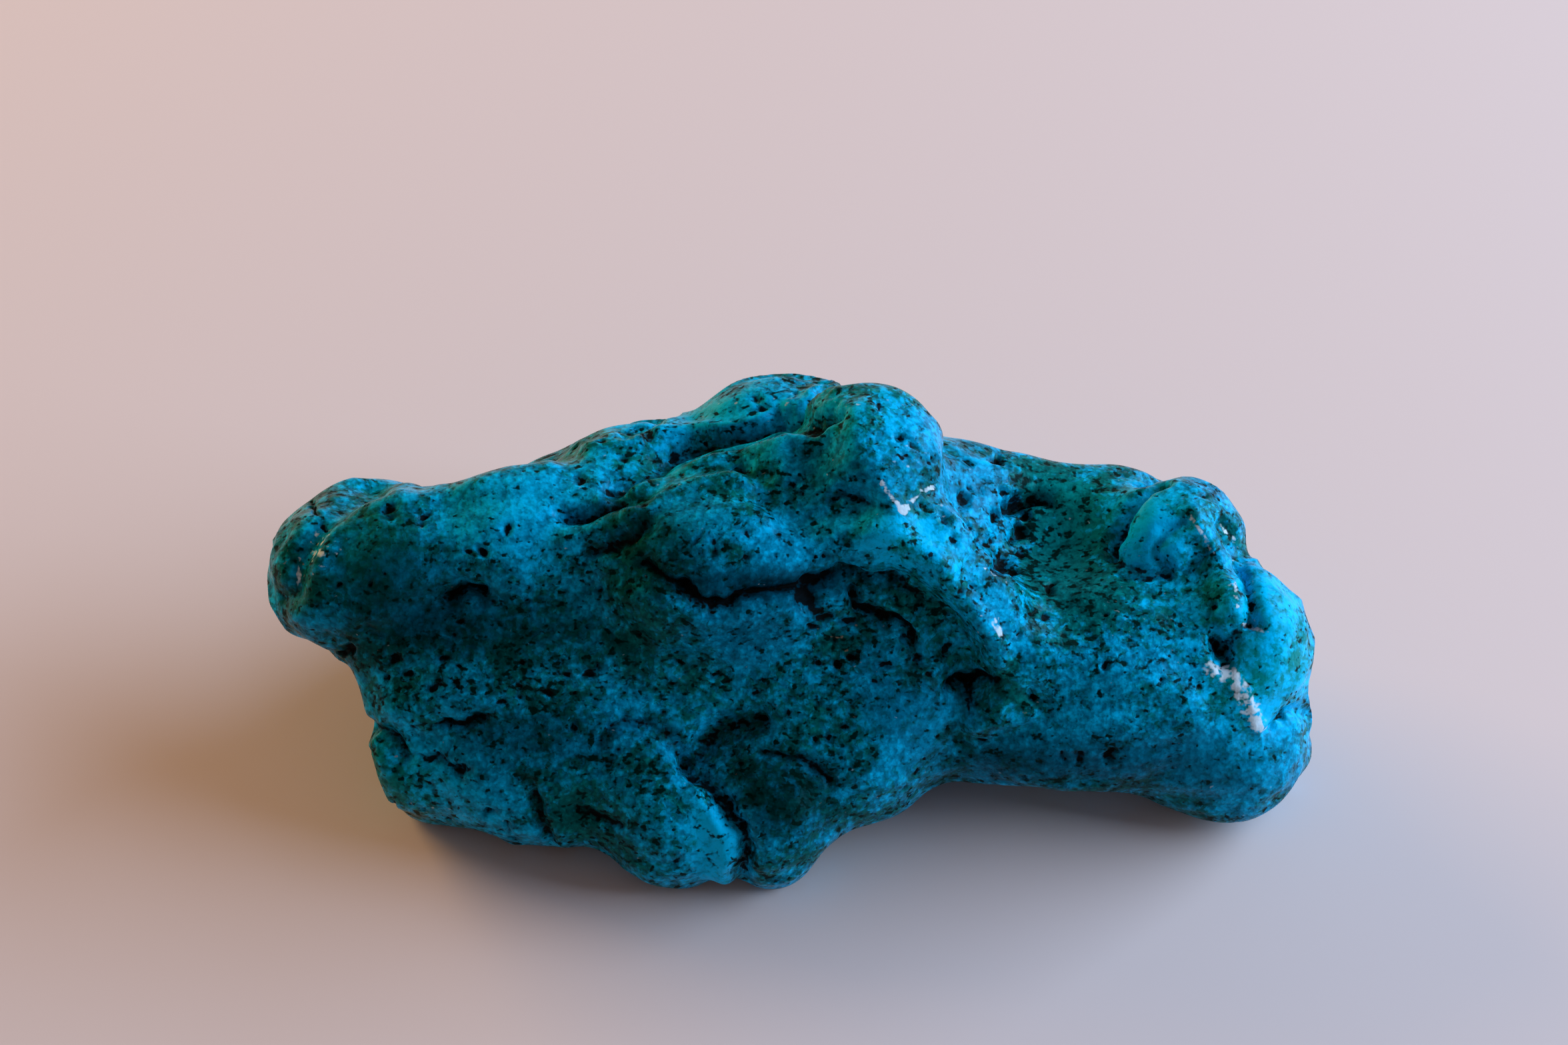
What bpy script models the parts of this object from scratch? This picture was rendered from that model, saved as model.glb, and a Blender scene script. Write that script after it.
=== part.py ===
"""A raw turquoise nugget: one natural stone, lying on its feet as it rests on a table.

The stone is a field whose zero is its skin. Rounded masses and rolls are joined by smooth unions and
opened by hollows. A cube's subdivided skin is carried to that field along rays that leave a spine
inside the stone. Ridges, folds, crevices and pits then rise from or sink into the skin. The mesh is
thinned, and the feet are cut flat where the stone rests.

All sizes below are millimetres. x runs along the stone, y from front to back and z up.
"""
import bmesh
import bpy
import numpy as np

MILLIMETRE = 0.001

# Driving dimensions
NUGGET_LENGTH = 120.0
SKIN_CUTS = 119
TRIANGLES = 9500
NODE_NAME = "turquoise_nugget"

# The study frame's length, and its point that stands over the nugget's origin
STUDY_LENGTH = 119.73
STUDY_MIDDLE = (0.397, -1.711)
REST_LEVEL = 0.35
CUTTER_SIZE = (200.0, 120.0, 20.0)

# Rounded masses: (centre), (half sizes)
LUMPS = {
    "core": ((0, 2, 19), (38, 22, 17)),
    "left_flank": ((-25, -10, 14), (24, 14, 13.5)),
    "left_back_lobe": ((-48.6, 5.4, 21), (10.4, 8, 8.5)),
    "arm_underside": ((-36, -7, 19), (14, 9, 8)),
    "left_foot": ((-40.3, -14, 8), (8.8, 8, 8.6)),
    "left_bank": ((-26, -17.6, 8.5), (12.5, 9, 8.5)),
    "toe": ((-13, -23.2, 8.5), (7.8, 8, 8.6)),
    "second_toe": ((-2.2, -23.3, 8.5), (7, 8, 8.5)),
    "low_front": ((4.5, -16, 13), (13.5, 10, 11)),
    "ridge_foot": ((12, -9, 21), (8, 9, 8)),
    "brow": ((-7, -8, 32), (15, 10, 9)),
    "peak": ((9.1, 1, 37.7), (8.8, 10, 10)),
    "rear_lump": ((-1, 11.3, 30), (12, 9, 9)),
    "rear_left_lump": ((-18, 7.5, 28.5), (9, 8, 8)),
    "right_body": ((32, -8.4, 14.6), (26, 14, 13.5)),
    "right_foot": ((49.2, -12.5, 8), (10.3, 8.8, 9)),
    "right_bulge": ((50.9, -7.6, 19), (8, 8.5, 9.5)),
    "right_knob": ((44.2, 2.5, 24.8), (7.6, 7, 7.6)),
    "knob_root": ((37.5, 3.5, 19.5), (10, 8, 8.8)),
    "back_wall": ((30, 10.5, 18.5), (18, 9, 9)),
    "back_right_foot": ((22, 12, 9), (14, 9, 10)),
    "back_bulge": ((-10, 16, 13), (24, 11.5, 14)),
    "back_left_knuckle": ((-33, 11, 13), (10, 9, 9)),
}

# Rolls: nodes of (x, y, z, radius)
ROLLS = {
    "left_arm": ((-50.8, -2, 24.6, 8.3), (-42, -3, 25.8, 9), (-30, -3, 27, 10), (-22, -2, 27.5, 10)),
    "second_crest": ((5, -1, 38, 4), (0, -1, 38.5, 4), (-8, -1, 36, 4), (-14, -1.5, 33.5, 4),
                     (-20, -3, 31, 4)),
    "diagonal_ridge": ((8, -6, 36.5, 6), (15, -8.5, 34, 6), (20, -10.5, 30, 5.5),
                       (24.5, -13, 24, 5.5)),
    "back_fold": ((-34, 9.5, 20.5, 4), (-22, 17.5, 20, 5), (-6, 21, 22, 5), (10, 19, 22, 4)),
}

# Hollows: (centre), (half sizes)
HOLLOWS = {
    "basin": ((29, 0, 38), (10, 10, 12)),
    "arch": ((26, -22, -3), (14, 13, 11)),
    "under_left_arm": ((-57, -12.5, 5), (12, 12, 13)),
    "under_middle": ((4, -3, -12), (22, 12, 16)),
    "under_left": ((-34, 3, -9), (15, 9, 15)),
    "back_scoop": ((4, 34, 30), (14, 9, 8)),
    "back_dent": ((36, 25, 14), (9, 8, 9)),
}
UNION_BLEND = 4.0
HOLLOW_BLEND = 4.0
ROLL_BLEND = 2.0

# The spine that the rays leave, by x
SPINE_X = (-50.0, -42.0, -20.0, 0.0, 20.0, 38.0, 51.0)
SPINE_Y = (-1.0, -2.0, -1.0, 0.0, -3.0, -5.0, -9.0)
SPINE_Z = (23.0, 22.0, 19.0, 19.0, 17.0, 17.0, 15.0)
SPINE_REACH = 50.0
SPINE_EASE = 0.5

# How a ray is followed inwards: its start off the spine, its steps, and how near the skin it ends
RAY_START = 44.0
RAY_STEPS = 50
RAY_STEP = 0.75
SKIN_TOLERANCE = 0.01

# The plane that the front relief is drawn on: it faces an eye 424 mm away that looks down at 45 degrees
EYE_TILT = np.radians(45.0)
EYE_FAR = 424.0
SIGHT_MIDDLE = np.array([0.0, -4.0, 17.0])
EYE_OFF_MIDDLE = (-0.4, 12.7)
SIGHT_ACROSS = np.array([1.0, 0.0, 0.0])
SIGHT_UP = np.array([0.0, np.sin(EYE_TILT), np.cos(EYE_TILT)])
SIGHT_IN = np.array([0.0, np.cos(EYE_TILT), -np.sin(EYE_TILT)])
EYE = (SIGHT_MIDDLE + SIGHT_ACROSS * EYE_OFF_MIDDLE[0] + SIGHT_UP * EYE_OFF_MIDDLE[1]
       - SIGHT_IN * EYE_FAR)

# Ridges (rise above zero) and grooves (below): rise, half width, points (across, up) on that plane
STROKES = {
    "end_valley": (-2.0, 1.8, ((-57, 4.5), (-56.2, 9), (-54, 12), (-51, 14.6), (-47, 16.9))),
    "arm_crest": (1.0, 1.7, ((-53.5, 8.5), (-51.8, 12.2), (-49.3, 14.8), (-46, 15.5), (-42, 15.2),
                             (-38, 16.3), (-32, 17.4), (-27, 18))),
    "under_arm": (-0.8, 1.8, ((-47, -0.5), (-43.5, 1.6), (-40, 4.2), (-37, 5), (-33, 4), (-27, 4.5),
                              (-21, 6), (-17, 7.3))),
    "arm_pit": (-2.6, 1.0, ((-39, 4.6), (-37.5, 5.2), (-35.8, 5.2))),
    "crevice": (-2.6, 0.85, ((-17, 7.7), (-14, 6.7), (-11.2, 4.8), (-9.3, 3.6), (-8, 3.2), (-6, 3.9),
                             (-3.5, 4.5), (-1, 5.2), (1.5, 5.3), (4.5, 5), (7, 5.6))),
    "crevice_slope": (-1.6, 2.4, ((-15, 6.2), (-9, 2.8), (-4, 3.2), (2, 4), (7, 4.5))),
    "crevice_end": (-2.2, 1.2, ((2.2, 4.8), (2.9, 3.0))),
    "brow_lip": (1.3, 1.7, ((-14, 8.9), (-9, 6.9), (-4, 7), (1, 7.9), (5, 8.4))),
    "brow_crest": (0.9, 1.3, ((-17.3, 13.2), (-15.6, 15), (-13.5, 16.4), (-11, 17.5), (-8, 18),
                              (-5, 17.5))),
    "brow_back_valley": (-1.2, 1.1, ((-19, 14.6), (-16, 16), (-13.5, 18), (-10, 19.1), (-6, 19.4),
                                     (-3, 18.4))),
    "brow_left_band": (-1.1, 0.8, ((-22, 8.9), (-20, 9.7), (-18, 10.7), (-16.3, 11.9))),
    "brow_spur": (0.8, 1.6, ((-25, 11), (-21.5, 11.8), (-18, 13.2))),
    "brow_left_valley": (-1.8, 1.0, ((-25.3, 13.4), (-23, 13.5), (-21, 14.2), (-19, 15.6))),
    "second_crest_line": (1.0, 1.0, ((-21, 14.9), (-16, 17.3), (-12, 19.2), (-8, 20.4), (-4, 21.3),
                                     (-1.5, 21.8), (1, 22.8), (4, 24))),
    "second_crest_valley": (-1.6, 1.2, ((-20, 17), (-15, 19.2), (-11, 21.2), (-7, 22.2), (-3, 23),
                                        (-1, 23.8))),
    "rear_left_line": (0.9, 1.0, ((-23, 21), (-19, 21.4), (-16.6, 21.9), (-14.6, 23.1), (-11, 23.2),
                                  (-6, 23.6), (-3, 24.4))),
    "rear_left_valley": (-0.9, 0.9, ((-18.5, 22.6), (-16.3, 22.8), (-15, 24))),
    "peak_left_slot": (-2.0, 0.9, ((0.8, 23.6), (3, 24.5), (5.3, 25.6))),
    "peak_left_edge": (1.0, 0.9, ((0, 24.4), (1.8, 25.8), (3.4, 27.2), (5.6, 28.1))),
    "peak_face_hollow": (-1.3, 2.4, ((3.2, 21.5), (3, 19), (4.2, 16.8), (6, 15.8), (8, 15.2))),
    "peak_spur": (0.9, 2.0, ((8, 25), (8.3, 21), (10, 17), (12.5, 13.2))),
    "saddle": (-1.0, 1.5, ((-3, 15.6), (-1.6, 14.1), (0, 13.2), (2, 12.9), (5, 13.6), (8, 13.6))),
    "saddle_pit": (-0.9, 0.7, ((4.4, 15.5), (5.6, 16.2), (6.8, 15.8), (8.8, 15))),
    "ridge_crest": (0.9, 1.6, ((9, 12), (13, 11), (17, 7.8), (20, 4), (23, -0.5), (24, -3))),
    "ridge_hollow": (-2.2, 2.2, ((12, 5.5), (15, 3.5), (18, 0.5), (19.8, -2.8), (20.5, -6))),
    "ridge_crack_upper": (-1.4, 0.65, ((6.4, 7.4), (7.6, 6.6), (9.2, 5.6))),
    "ridge_crack_middle": (-0.9, 0.6, ((10.3, 5.6), (11.4, 5.1), (12.6, 3.8), (14, 2.9), (15, 2))),
    "ridge_crack_lower": (-1.5, 0.6, ((7.9, 4.3), (8.1, 3), (9.3, 1.9), (11, 1.4), (12.6, 0.5),
                                      (13.6, -0.5), (14, -1.6))),
    "ridge_crack_ledge": (0.4, 0.9, ((9, 3.6), (11.4, 2.8), (13.5, 1.3), (14.8, -0.6))),
    "valley_pit": (-2.4, 1.2, ((18.6, -6.7), (20.3, -7), (22, -6.3), (23.8, -6.2))),
    "valley_pit_tail": (-1.6, 0.9, ((20.3, -7.2), (20.7, -8.8))),
    "valley_ledge": (1.2, 1.6, ((21.5, -10), (24, -9.4))),
    "valley_wall": (-1.3, 1.3, ((19.6, -4), (19.8, -8.5), (19.4, -12.5))),
    "knob_edge": (-1.5, 0.9, ((43, 17.8), (41, 16.4), (39, 14.4), (37.6, 12.5), (36.9, 10.8),
                              (36.8, 9), (37.8, 7.7), (39.5, 7), (41.8, 6.8))),
    "knob_fold": (-0.8, 0.7, ((45.5, 12.4), (43.2, 11.4), (42.3, 9.6), (42.6, 8), (43.6, 7))),
    "knob_fold_lower": (-0.7, 0.7, ((46.8, 10), (47.2, 8.4), (45.5, 7.2))),
    "knob_rib": (1.1, 1.6, ((46.5, 13.4), (48, 10.2), (49.4, 7), (50.5, 3.8), (51.2, 1.2))),
    "knob_rib_valley": (-1.3, 0.9, ((50.3, 12.6), (51.3, 9.8), (52, 6.8), (52.8, 3.8), (53, 1.6))),
    "bulge_edge": (-1.4, 0.9, ((53, 1.4), (51.2, 0), (50.3, -1.6), (50.2, -3.4))),
    "bulge_pit": (-2.4, 1.0, ((48.9, -0.9), (49.5, -2))),
    "crust_vein": (0.5, 0.9, ((48.6, -4.1), (50.4, -4.5), (51.4, -6), (52.3, -7.5), (53.2, -9.5),
                              (54, -10.6))),
    "side_notch": (-0.9, 0.9, ((59, -9.2), (57.2, -9.5), (55.6, -10.4))),
    "basin_steps": (-1.4, 0.9, ((25.4, 14.3), (27, 14.8), (28.6, 15.4), (30, 15.5))),
    "right_fold": (-0.7, 0.9, ((24.5, -12), (27.5, -11.5), (29.4, -10), (29.6, -8), (28, -6.8))),
    "right_shoulder": (0.8, 2.6, ((30, -3), (37, -4), (44, -7), (50, -12))),
    "notch": (-1.3, 0.9, ((-48, -10.4), (-46.3, -11), (-45, -12.6), (-44.4, -15))),
    "foot_dashes": (-0.6, 0.6, ((-43, -14.4), (-40, -14.6), (-38, -15.8), (-36.4, -15.9))),
    "foot_crack": (-1.1, 0.6, ((-29.4, -17.9), (-28.7, -19.6), (-28.2, -21.4), (-27, -23.6))),
    "foot_crack_lip": (0.5, 1.3, ((-28.2, -17.4), (-27.4, -19.4), (-26.8, -21.6), (-25.4, -23.8))),
    "toe_arc": (-0.9, 0.8, ((-21.5, -12.8), (-20, -11.2), (-18, -10.6), (-16, -10.8), (-14.4, -11.7),
                            (-13, -13), (-12, -14.6))),
    "toe_cleft": (-1.7, 0.9, ((-12, -14.8), (-10.8, -16.6), (-8.6, -18.4), (-6.8, -19.8),
                              (-5.2, -21.8), (-4.7, -24.2), (-4.9, -26.6), (-5.3, -28.6))),
    "toe_shoulder": (1.1, 1.5, ((-10.6, -18.4), (-8.4, -20.6), (-7.2, -23), (-6.9, -26), (-7.5, -28))),
    "toe_pits": (-0.7, 0.7, ((-24.2, -20.4), (-22, -21), (-20.6, -21.4), (-19.4, -22.6))),
    "second_toe_arc": (-1.7, 1.6, ((-10.6, -14.4), (-9.4, -12.6), (-8, -11.5), (-5.6, -10.7),
                                   (-3, -10))),
    "second_toe_crack": (-1.0, 0.7, ((-3, -13.6), (-1, -13.8), (1, -14.5), (3, -15.6), (5.4, -16.8))),
    "flank_dash": (-0.8, 0.6, ((-40.4, -10.9), (-37.8, -10.4), (-34.9, -9.8))),
    "flank_swell": (0.9, 3.0, ((-44, -8), (-36, -4), (-26, -2), (-16, -2))),
    "flank_band": (-0.9, 2.6, ((-44, -12.5), (-34, -11.5), (-25, -8), (-14, -7.5))),
}

# Low swellings and dips: (across, up), (half across, half up), rise
SWELLS = {
    "arm_front": ((-42, 9.5), (7, 4), 0.8),
    "brow_front": ((-7, 11), (9, 4), 1.0),
    "lower_right_front": ((12, -9), (6, 5), 1.2),
    "middle_dip": ((3, -2), (5, 3), -0.6),
    "second_toe_top": ((-2, -18.5), (6, 5), 1.2),
    "toe_top": ((-17, -18), (5, 5), 0.9),
    "bank_top": ((-36, -18.5), (5, 3.5), 0.8),
    "left_foot_top": ((-46.5, -14.5), (3.5, 3.5), 0.6),
    "knob_top": ((42, 11.5), (4, 4), 0.8),
    "knob_middle": ((45, 9.4), (1.8, 1.8), 0.6),
    "bulge_side": ((55, -3), (3.5, 6), 0.6),
    "peak_face": ((15, 21), (5, 5), 0.6),
    "basin_floor": ((30, 10), (4, 5), -0.8),
    "right_dip": ((36, 2), (6, 3), -0.5),
    "right_foot_top": ((50, -15), (6, 4), 0.6),
}

# Pits: (across, up, radius)
PITS = (
    (-45.3, 13.8, 0.9), (-41.8, 13.1, 0.9), (-32.5, 12.2, 0.8), (-35.4, 9.3, 0.9), (-50.6, -1.9, 1.0),
    (-45, -2.6, 0.8), (-42.8, -4.1, 0.8), (-39, -3, 0.9), (-24.3, 13.6, 0.9), (-24, 17.6, 0.7),
    (-23, -4.7, 0.8), (-7.4, 3.1, 1.1), (2.9, 3, 1.2), (3.4, 0.3, 0.8), (7.2, -2.8, 0.8), (5, -3.8, 0.8),
    (14.7, -3.1, 1.0), (7, 1.2, 0.8), (-11, -16.5, 0.9), (-4.9, -21.6, 0.9), (19.8, 15, 1.0),
    (23.4, 13.3, 0.9), (17.8, 12.9, 0.8), (26.3, 12, 0.9), (25, 8.4, 1.0), (16.6, 20, 0.7),
    (24.2, 19.8, 0.8), (30.3, 5.3, 0.8), (49, 2.6, 0.7), (53.1, 3.6, 0.7), (57.6, -9.4, 0.9),
    (28.8, -7.5, 0.7), (36.6, -13.6, 0.8), (-3.4, 26, 0.7), (-13.5, 20.6, 0.8),
)
PIT_DEPTH = 1.2
FINEST_HALF_WIDTH = 0.8

# Where the front relief fades out: cosine of the skin to the eye, and depth behind the sight plane
FACING_FADE = (-0.15, 0.2)
DEPTH_FADE = (3.0, 9.0)

# Uneven growth: (height, size of its features, octaves, seed)
ROLLING = (0.55, 13.0, 3, 31)
STREAKS = (0.25, 3.4, 1, 41)
BACK_FOLDS = (1.1, 9.0, 2, 57)
STREAK_STRETCH = (0.6, 1.2, 1.6)
FOLD_STRETCH = (0.45, 1.0, 1.1)
LINE_WANDER = (0.45, 3.2, 11)
FOLD_LEVEL = 0.5
OCTAVE_SHIFT = 17.3

# What the noise's lattice is mixed with, and how many steps a value can take
AXIS_PRIMES = (73856093, 19349663, 83492791)
SEED_PRIME = 2654435761
MIX_PRIME = 1274126177
NOISE_STEPS = 0xFFFFF

# Passes that soften the directions in which the relief is raised
NORMAL_SOFTENING = 25

# The waxed skin as one plain colour
TURQUOISE = (0.004, 0.27, 0.45, 1.0)
TURQUOISE_ROUGHNESS = 0.35


def smooth_min(a, b, blend):
    """The smaller of two fields, with a fillet about blend wide where they meet."""
    h = np.maximum(blend - np.abs(a - b), 0.0)
    return np.minimum(a, b) - h * h / (4 * blend)


def ellipsoid(p, centre, half):
    """Distance to an ellipsoid, near enough close to its skin."""
    q = (p - np.asarray(centre, float)) / np.asarray(half, float)
    k0 = np.sqrt((q * q).sum(-1))
    q = q / np.asarray(half, float)
    return k0 * (k0 - 1) / (np.sqrt((q * q).sum(-1)) + 1e-9)


def roll(p, nodes):
    """Distance to a chain of tapered capsules through nodes of (x, y, z, radius)."""
    nodes = np.asarray(nodes, float)
    best = np.full(p.shape[:-1], 1e9)
    for start, end in zip(nodes[:-1], nodes[1:]):
        run = end[:3] - start[:3]
        h = np.clip(((p - start[:3]) @ run) / (run @ run), 0, 1)
        axis = start[:3] + h[..., None] * run
        d = np.sqrt(((p - axis) ** 2).sum(-1)) - (start[3] + h * (end[3] - start[3]))
        best = smooth_min(best, d, ROLL_BLEND)
    return best


def masses(p):
    """The stone without its relief: lumps and rolls joined, then opened by the hollows."""
    f = np.full(p.shape[:-1], 1e9)
    for centre, half in LUMPS.values():
        f = smooth_min(f, ellipsoid(p, centre, half), UNION_BLEND)
    for nodes in ROLLS.values():
        f = smooth_min(f, roll(p, nodes), UNION_BLEND)
    for centre, half in HOLLOWS.values():
        f = -smooth_min(-f, ellipsoid(p, centre, half), HOLLOW_BLEND)
    return f


def spine(d):
    """Where each ray leaves the spine: soon towards its ends, so rays stand nearly square to it."""
    x = SPINE_REACH * d[:, 0] * (1 + SPINE_EASE * (1 - np.abs(d[:, 0])))
    return np.stack([x, np.interp(x, SPINE_X, SPINE_Y), np.interp(x, SPINE_X, SPINE_Z)], -1)


def trace(d):
    """Step inwards along each ray from outside the stone until the field says that the skin is met."""
    root = spine(d)
    r = np.full(len(d), RAY_START)
    live = np.arange(len(d))
    for _ in range(RAY_STEPS):
        f = masses(root[live] + d[live] * r[live, None])
        r[live] -= RAY_STEP * f
        live = live[np.abs(f) > SKIN_TOLERANCE]
    return root + d * r[:, None]


def lattice_noise(ijk, seed):
    """A number from 0 to 1 for each lattice point, the same each run."""
    n = np.full(ijk.shape[:-1], seed * SEED_PRIME, np.int64)
    for axis, prime in enumerate(AXIS_PRIMES):
        n ^= ijk[..., axis].astype(np.int64) * prime
    n = (n ^ (n >> 13)) * MIX_PRIME
    n ^= n >> 16
    return (n & NOISE_STEPS) / NOISE_STEPS


def noise(p, size, seed):
    """Smooth noise from -1 to 1 with features about size across."""
    q = p / size
    base = np.floor(q)
    f = q - base
    f = f * f * f * (f * (f * 6 - 15) + 10)
    total = 0
    for corner in np.ndindex(2, 2, 2):
        weight = np.prod(np.where(corner, f, 1 - f), axis=1)
        total = total + weight * lattice_noise(base + corner, seed)
    return total * 2 - 1


def rolling(p, size, octaves, seed):
    """Noise summed over octaves, each half the size and half the height of the one before."""
    return sum(noise(p + OCTAVE_SHIFT * k, size / 2**k, seed + k) / 2**k for k in range(octaves))


def smoothstep(x, low, high):
    t = np.clip((x - low) / (high - low), 0, 1)
    return t * t * (3 - 2 * t)


def to_sight(p):
    """Where each point is seen on the sight plane, (across, up), and how far behind it the point is."""
    v = p - EYE
    depth = v @ SIGHT_IN
    q = v * (EYE_FAR / depth)[:, None] + EYE - SIGHT_MIDDLE
    return q @ SIGHT_ACROSS, q @ SIGHT_UP, depth - EYE_FAR


def stroke_distance(across, up, points):
    """Distance on the sight plane to a line drawn through points."""
    points = np.asarray(points, float)
    best = np.full(across.shape, 1e9)
    for (x, y), (u, v) in zip(points[:-1], points[1:] - points[:-1]):
        h = np.clip(((across - x) * u + (up - y) * v) / (u * u + v * v), 0, 1)
        best = np.minimum(best, (across - x - h * u) ** 2 + (up - y - h * v) ** 2)
    return np.sqrt(best)


def front_relief(across, up):
    """Height of the ridges, folds, crevices and pits that are drawn on the sight plane."""
    h = np.zeros(len(across))
    for rise, half_width, points in STROKES.values():
        half_width = max(half_width, FINEST_HALF_WIDTH)
        h += rise * np.exp(-(stroke_distance(across, up, points) / half_width) ** 2)
    for (x, y), (half_x, half_y), rise in SWELLS.values():
        h += rise * np.exp(-((across - x) / half_x) ** 2 - ((up - y) / half_y) ** 2)
    for x, y, radius in PITS:
        h -= PIT_DEPTH * radius * np.exp(-(((across - x) ** 2 + (up - y) ** 2) / radius**2) ** 1.5)
    return h


def relief(p, normal):
    """Height above the masses at each point: the drawn relief in front, folds behind, growth all over."""
    across, up, depth = to_sight(p)
    wander, size, seed = LINE_WANDER
    across = across + wander * noise(p, size, seed)
    up = up + wander * noise(p, size, seed + 1)
    to_eye = EYE - p
    facing = (normal * to_eye).sum(-1) / np.linalg.norm(to_eye, axis=1)
    front = smoothstep(facing, *FACING_FADE) * (1 - smoothstep(depth, *DEPTH_FADE))
    height, size, octaves, seed = BACK_FOLDS
    folds = height * (FOLD_LEVEL - 2 * np.abs(rolling(p * FOLD_STRETCH, size, octaves, seed)))
    h = front * front_relief(across, up) + (1 - front) * folds
    height, size, octaves, seed = ROLLING
    h += height * rolling(p, size, octaves, seed)
    height, size, octaves, seed = STREAKS
    return h + height * rolling(p * STREAK_STRETCH, size, octaves, seed)


def vertex_normals(p, quads):
    across = p[quads[:, 2]] - p[quads[:, 0]]
    face = np.cross(across, p[quads[:, 3]] - p[quads[:, 1]])
    out = np.zeros_like(p)
    for corner in range(4):
        for axis in range(3):
            out[:, axis] += np.bincount(quads[:, corner], face[:, axis], len(p))
    return out / np.linalg.norm(out, axis=1)[:, None]


def softened(field, quads, passes):
    """Average a vector field over the faces around each vertex, passes times, and make it unit again."""
    count = np.bincount(quads.ravel(), minlength=len(field)).astype(float)
    for _ in range(passes):
        face = field[quads].mean(1)
        out = np.zeros_like(field)
        for corner in range(4):
            for axis in range(3):
                out[:, axis] += np.bincount(quads[:, corner], face[:, axis], len(field))
        field = out / count[:, None]
    return field / np.linalg.norm(field, axis=1)[:, None]


def subdivided_cube(cuts):
    """A cube from -1 to 1 whose sides are cut into a grid."""
    bm = bmesh.new()
    bmesh.ops.create_cube(bm, size=2.0)
    bmesh.ops.subdivide_edges(bm, edges=bm.edges, cuts=cuts, use_grid_fill=True)
    mesh = bpy.data.meshes.new(NODE_NAME)
    bm.to_mesh(mesh)
    bm.free()
    return mesh


def carry_to_skin(mesh):
    """Move a subdivided cube's vertices out to the stone's skin, relief and all, in metres."""
    cube = np.empty(len(mesh.vertices) * 3, np.float32)
    mesh.vertices.foreach_get("co", cube)
    quads = np.empty(len(mesh.polygons) * 4, np.int32)
    mesh.polygons.foreach_get("vertices", quads)
    quads = quads.reshape(-1, 4)
    d = np.tan(cube.reshape(-1, 3).astype(float) * np.pi / 4)
    d /= np.linalg.norm(d, axis=1)[:, None]
    p = trace(d)
    normal = vertex_normals(p, quads)
    p += softened(normal, quads, NORMAL_SOFTENING) * relief(p, normal)[:, None]
    p -= (*STUDY_MIDDLE, REST_LEVEL)
    p *= NUGGET_LENGTH / STUDY_LENGTH * MILLIMETRE
    mesh.vertices.foreach_set("co", p.astype(np.float32).ravel())
    mesh.update()


def turquoise():
    material = bpy.data.materials.new("waxed_turquoise")
    material.use_nodes = True
    shader = material.node_tree.nodes["Principled BSDF"]
    shader.inputs["Base Color"].default_value = TURQUOISE
    shader.inputs["Roughness"].default_value = TURQUOISE_ROUGHNESS
    shader.inputs["Metallic"].default_value = 0.0
    return material


def rest_cutter():
    """A block whose top is the table: what it takes off leaves the stone's flat resting faces."""
    bpy.ops.mesh.primitive_cube_add(size=1.0)
    cutter = bpy.context.object
    cutter.name = "rest_cutter"
    cutter.dimensions = [size * MILLIMETRE for size in CUTTER_SIZE]
    cutter.location.z = -CUTTER_SIZE[2] / 2 * MILLIMETRE
    cutter.display_type = "WIRE"
    cutter.hide_render = True
    return cutter


def nugget():
    mesh = subdivided_cube(SKIN_CUTS)
    carry_to_skin(mesh)
    mesh.materials.append(turquoise())
    mesh.shade_smooth()
    stone = bpy.data.objects.new(NODE_NAME, mesh)
    bpy.context.scene.collection.objects.link(stone)
    thin = stone.modifiers.new("thin", "DECIMATE")
    thin.ratio = TRIANGLES / (2 * len(mesh.polygons))
    feet = stone.modifiers.new("flat_feet", "BOOLEAN")
    feet.operation = "DIFFERENCE"
    feet.object = rest_cutter()
    return stone


for old in list(bpy.data.objects):
    bpy.data.objects.remove(old, do_unlink=True)
nugget()
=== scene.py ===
"""The looks of a raw turquoise nugget: its fine skin, its waxed colour and a plain stage.

The nugget is one piece. Its form is the CAD solid's own: lumps, rolls and hollows blended in a
field, with ridges, folds and crevices raised on the skin. Here the skin is traced finely, and it
gets the small pits and cracks that the solid leaves out. Study sizes are millimetres: x runs
along the stone, y from front to back and z up.
"""

import bpy
from bpy.props import FloatProperty, IntProperty, PointerProperty, StringProperty
import numpy as np
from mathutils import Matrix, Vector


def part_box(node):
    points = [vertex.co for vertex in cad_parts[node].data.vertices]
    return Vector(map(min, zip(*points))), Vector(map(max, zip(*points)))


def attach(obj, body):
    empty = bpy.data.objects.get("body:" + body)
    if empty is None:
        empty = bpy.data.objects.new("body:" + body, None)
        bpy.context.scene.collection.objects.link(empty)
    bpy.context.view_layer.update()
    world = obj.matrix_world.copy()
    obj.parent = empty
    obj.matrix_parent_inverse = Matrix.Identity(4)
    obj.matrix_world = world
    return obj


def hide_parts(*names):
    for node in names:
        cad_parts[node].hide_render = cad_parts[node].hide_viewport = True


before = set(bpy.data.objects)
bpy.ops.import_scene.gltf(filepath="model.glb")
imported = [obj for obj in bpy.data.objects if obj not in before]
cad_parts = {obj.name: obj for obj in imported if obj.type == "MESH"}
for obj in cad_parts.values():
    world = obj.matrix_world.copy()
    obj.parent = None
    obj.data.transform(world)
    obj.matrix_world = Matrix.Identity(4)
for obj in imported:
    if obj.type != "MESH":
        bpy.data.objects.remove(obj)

bl_info = {
    "name": "Raw turquoise nugget",
    "version": (1, 0, 0),
    "blender": (4, 5, 0),
    "location": "View3D > Sidebar > Nugget",
    "description": "Builds a raw turquoise nugget with its waxed finish, and its stage",
    "category": "Mesh",
}

NODE = "turquoise_nugget"
CAD_LOW, CAD_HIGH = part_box(NODE)

# The study frame's length, and its point that stands over the nugget's origin
STUDY_LENGTH = 119.73
STUDY_ORIGIN = np.array([0.397, -1.711, 0.35])
STUDY_SCALE = (CAD_HIGH.x - CAD_LOW.x) / STUDY_LENGTH

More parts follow.
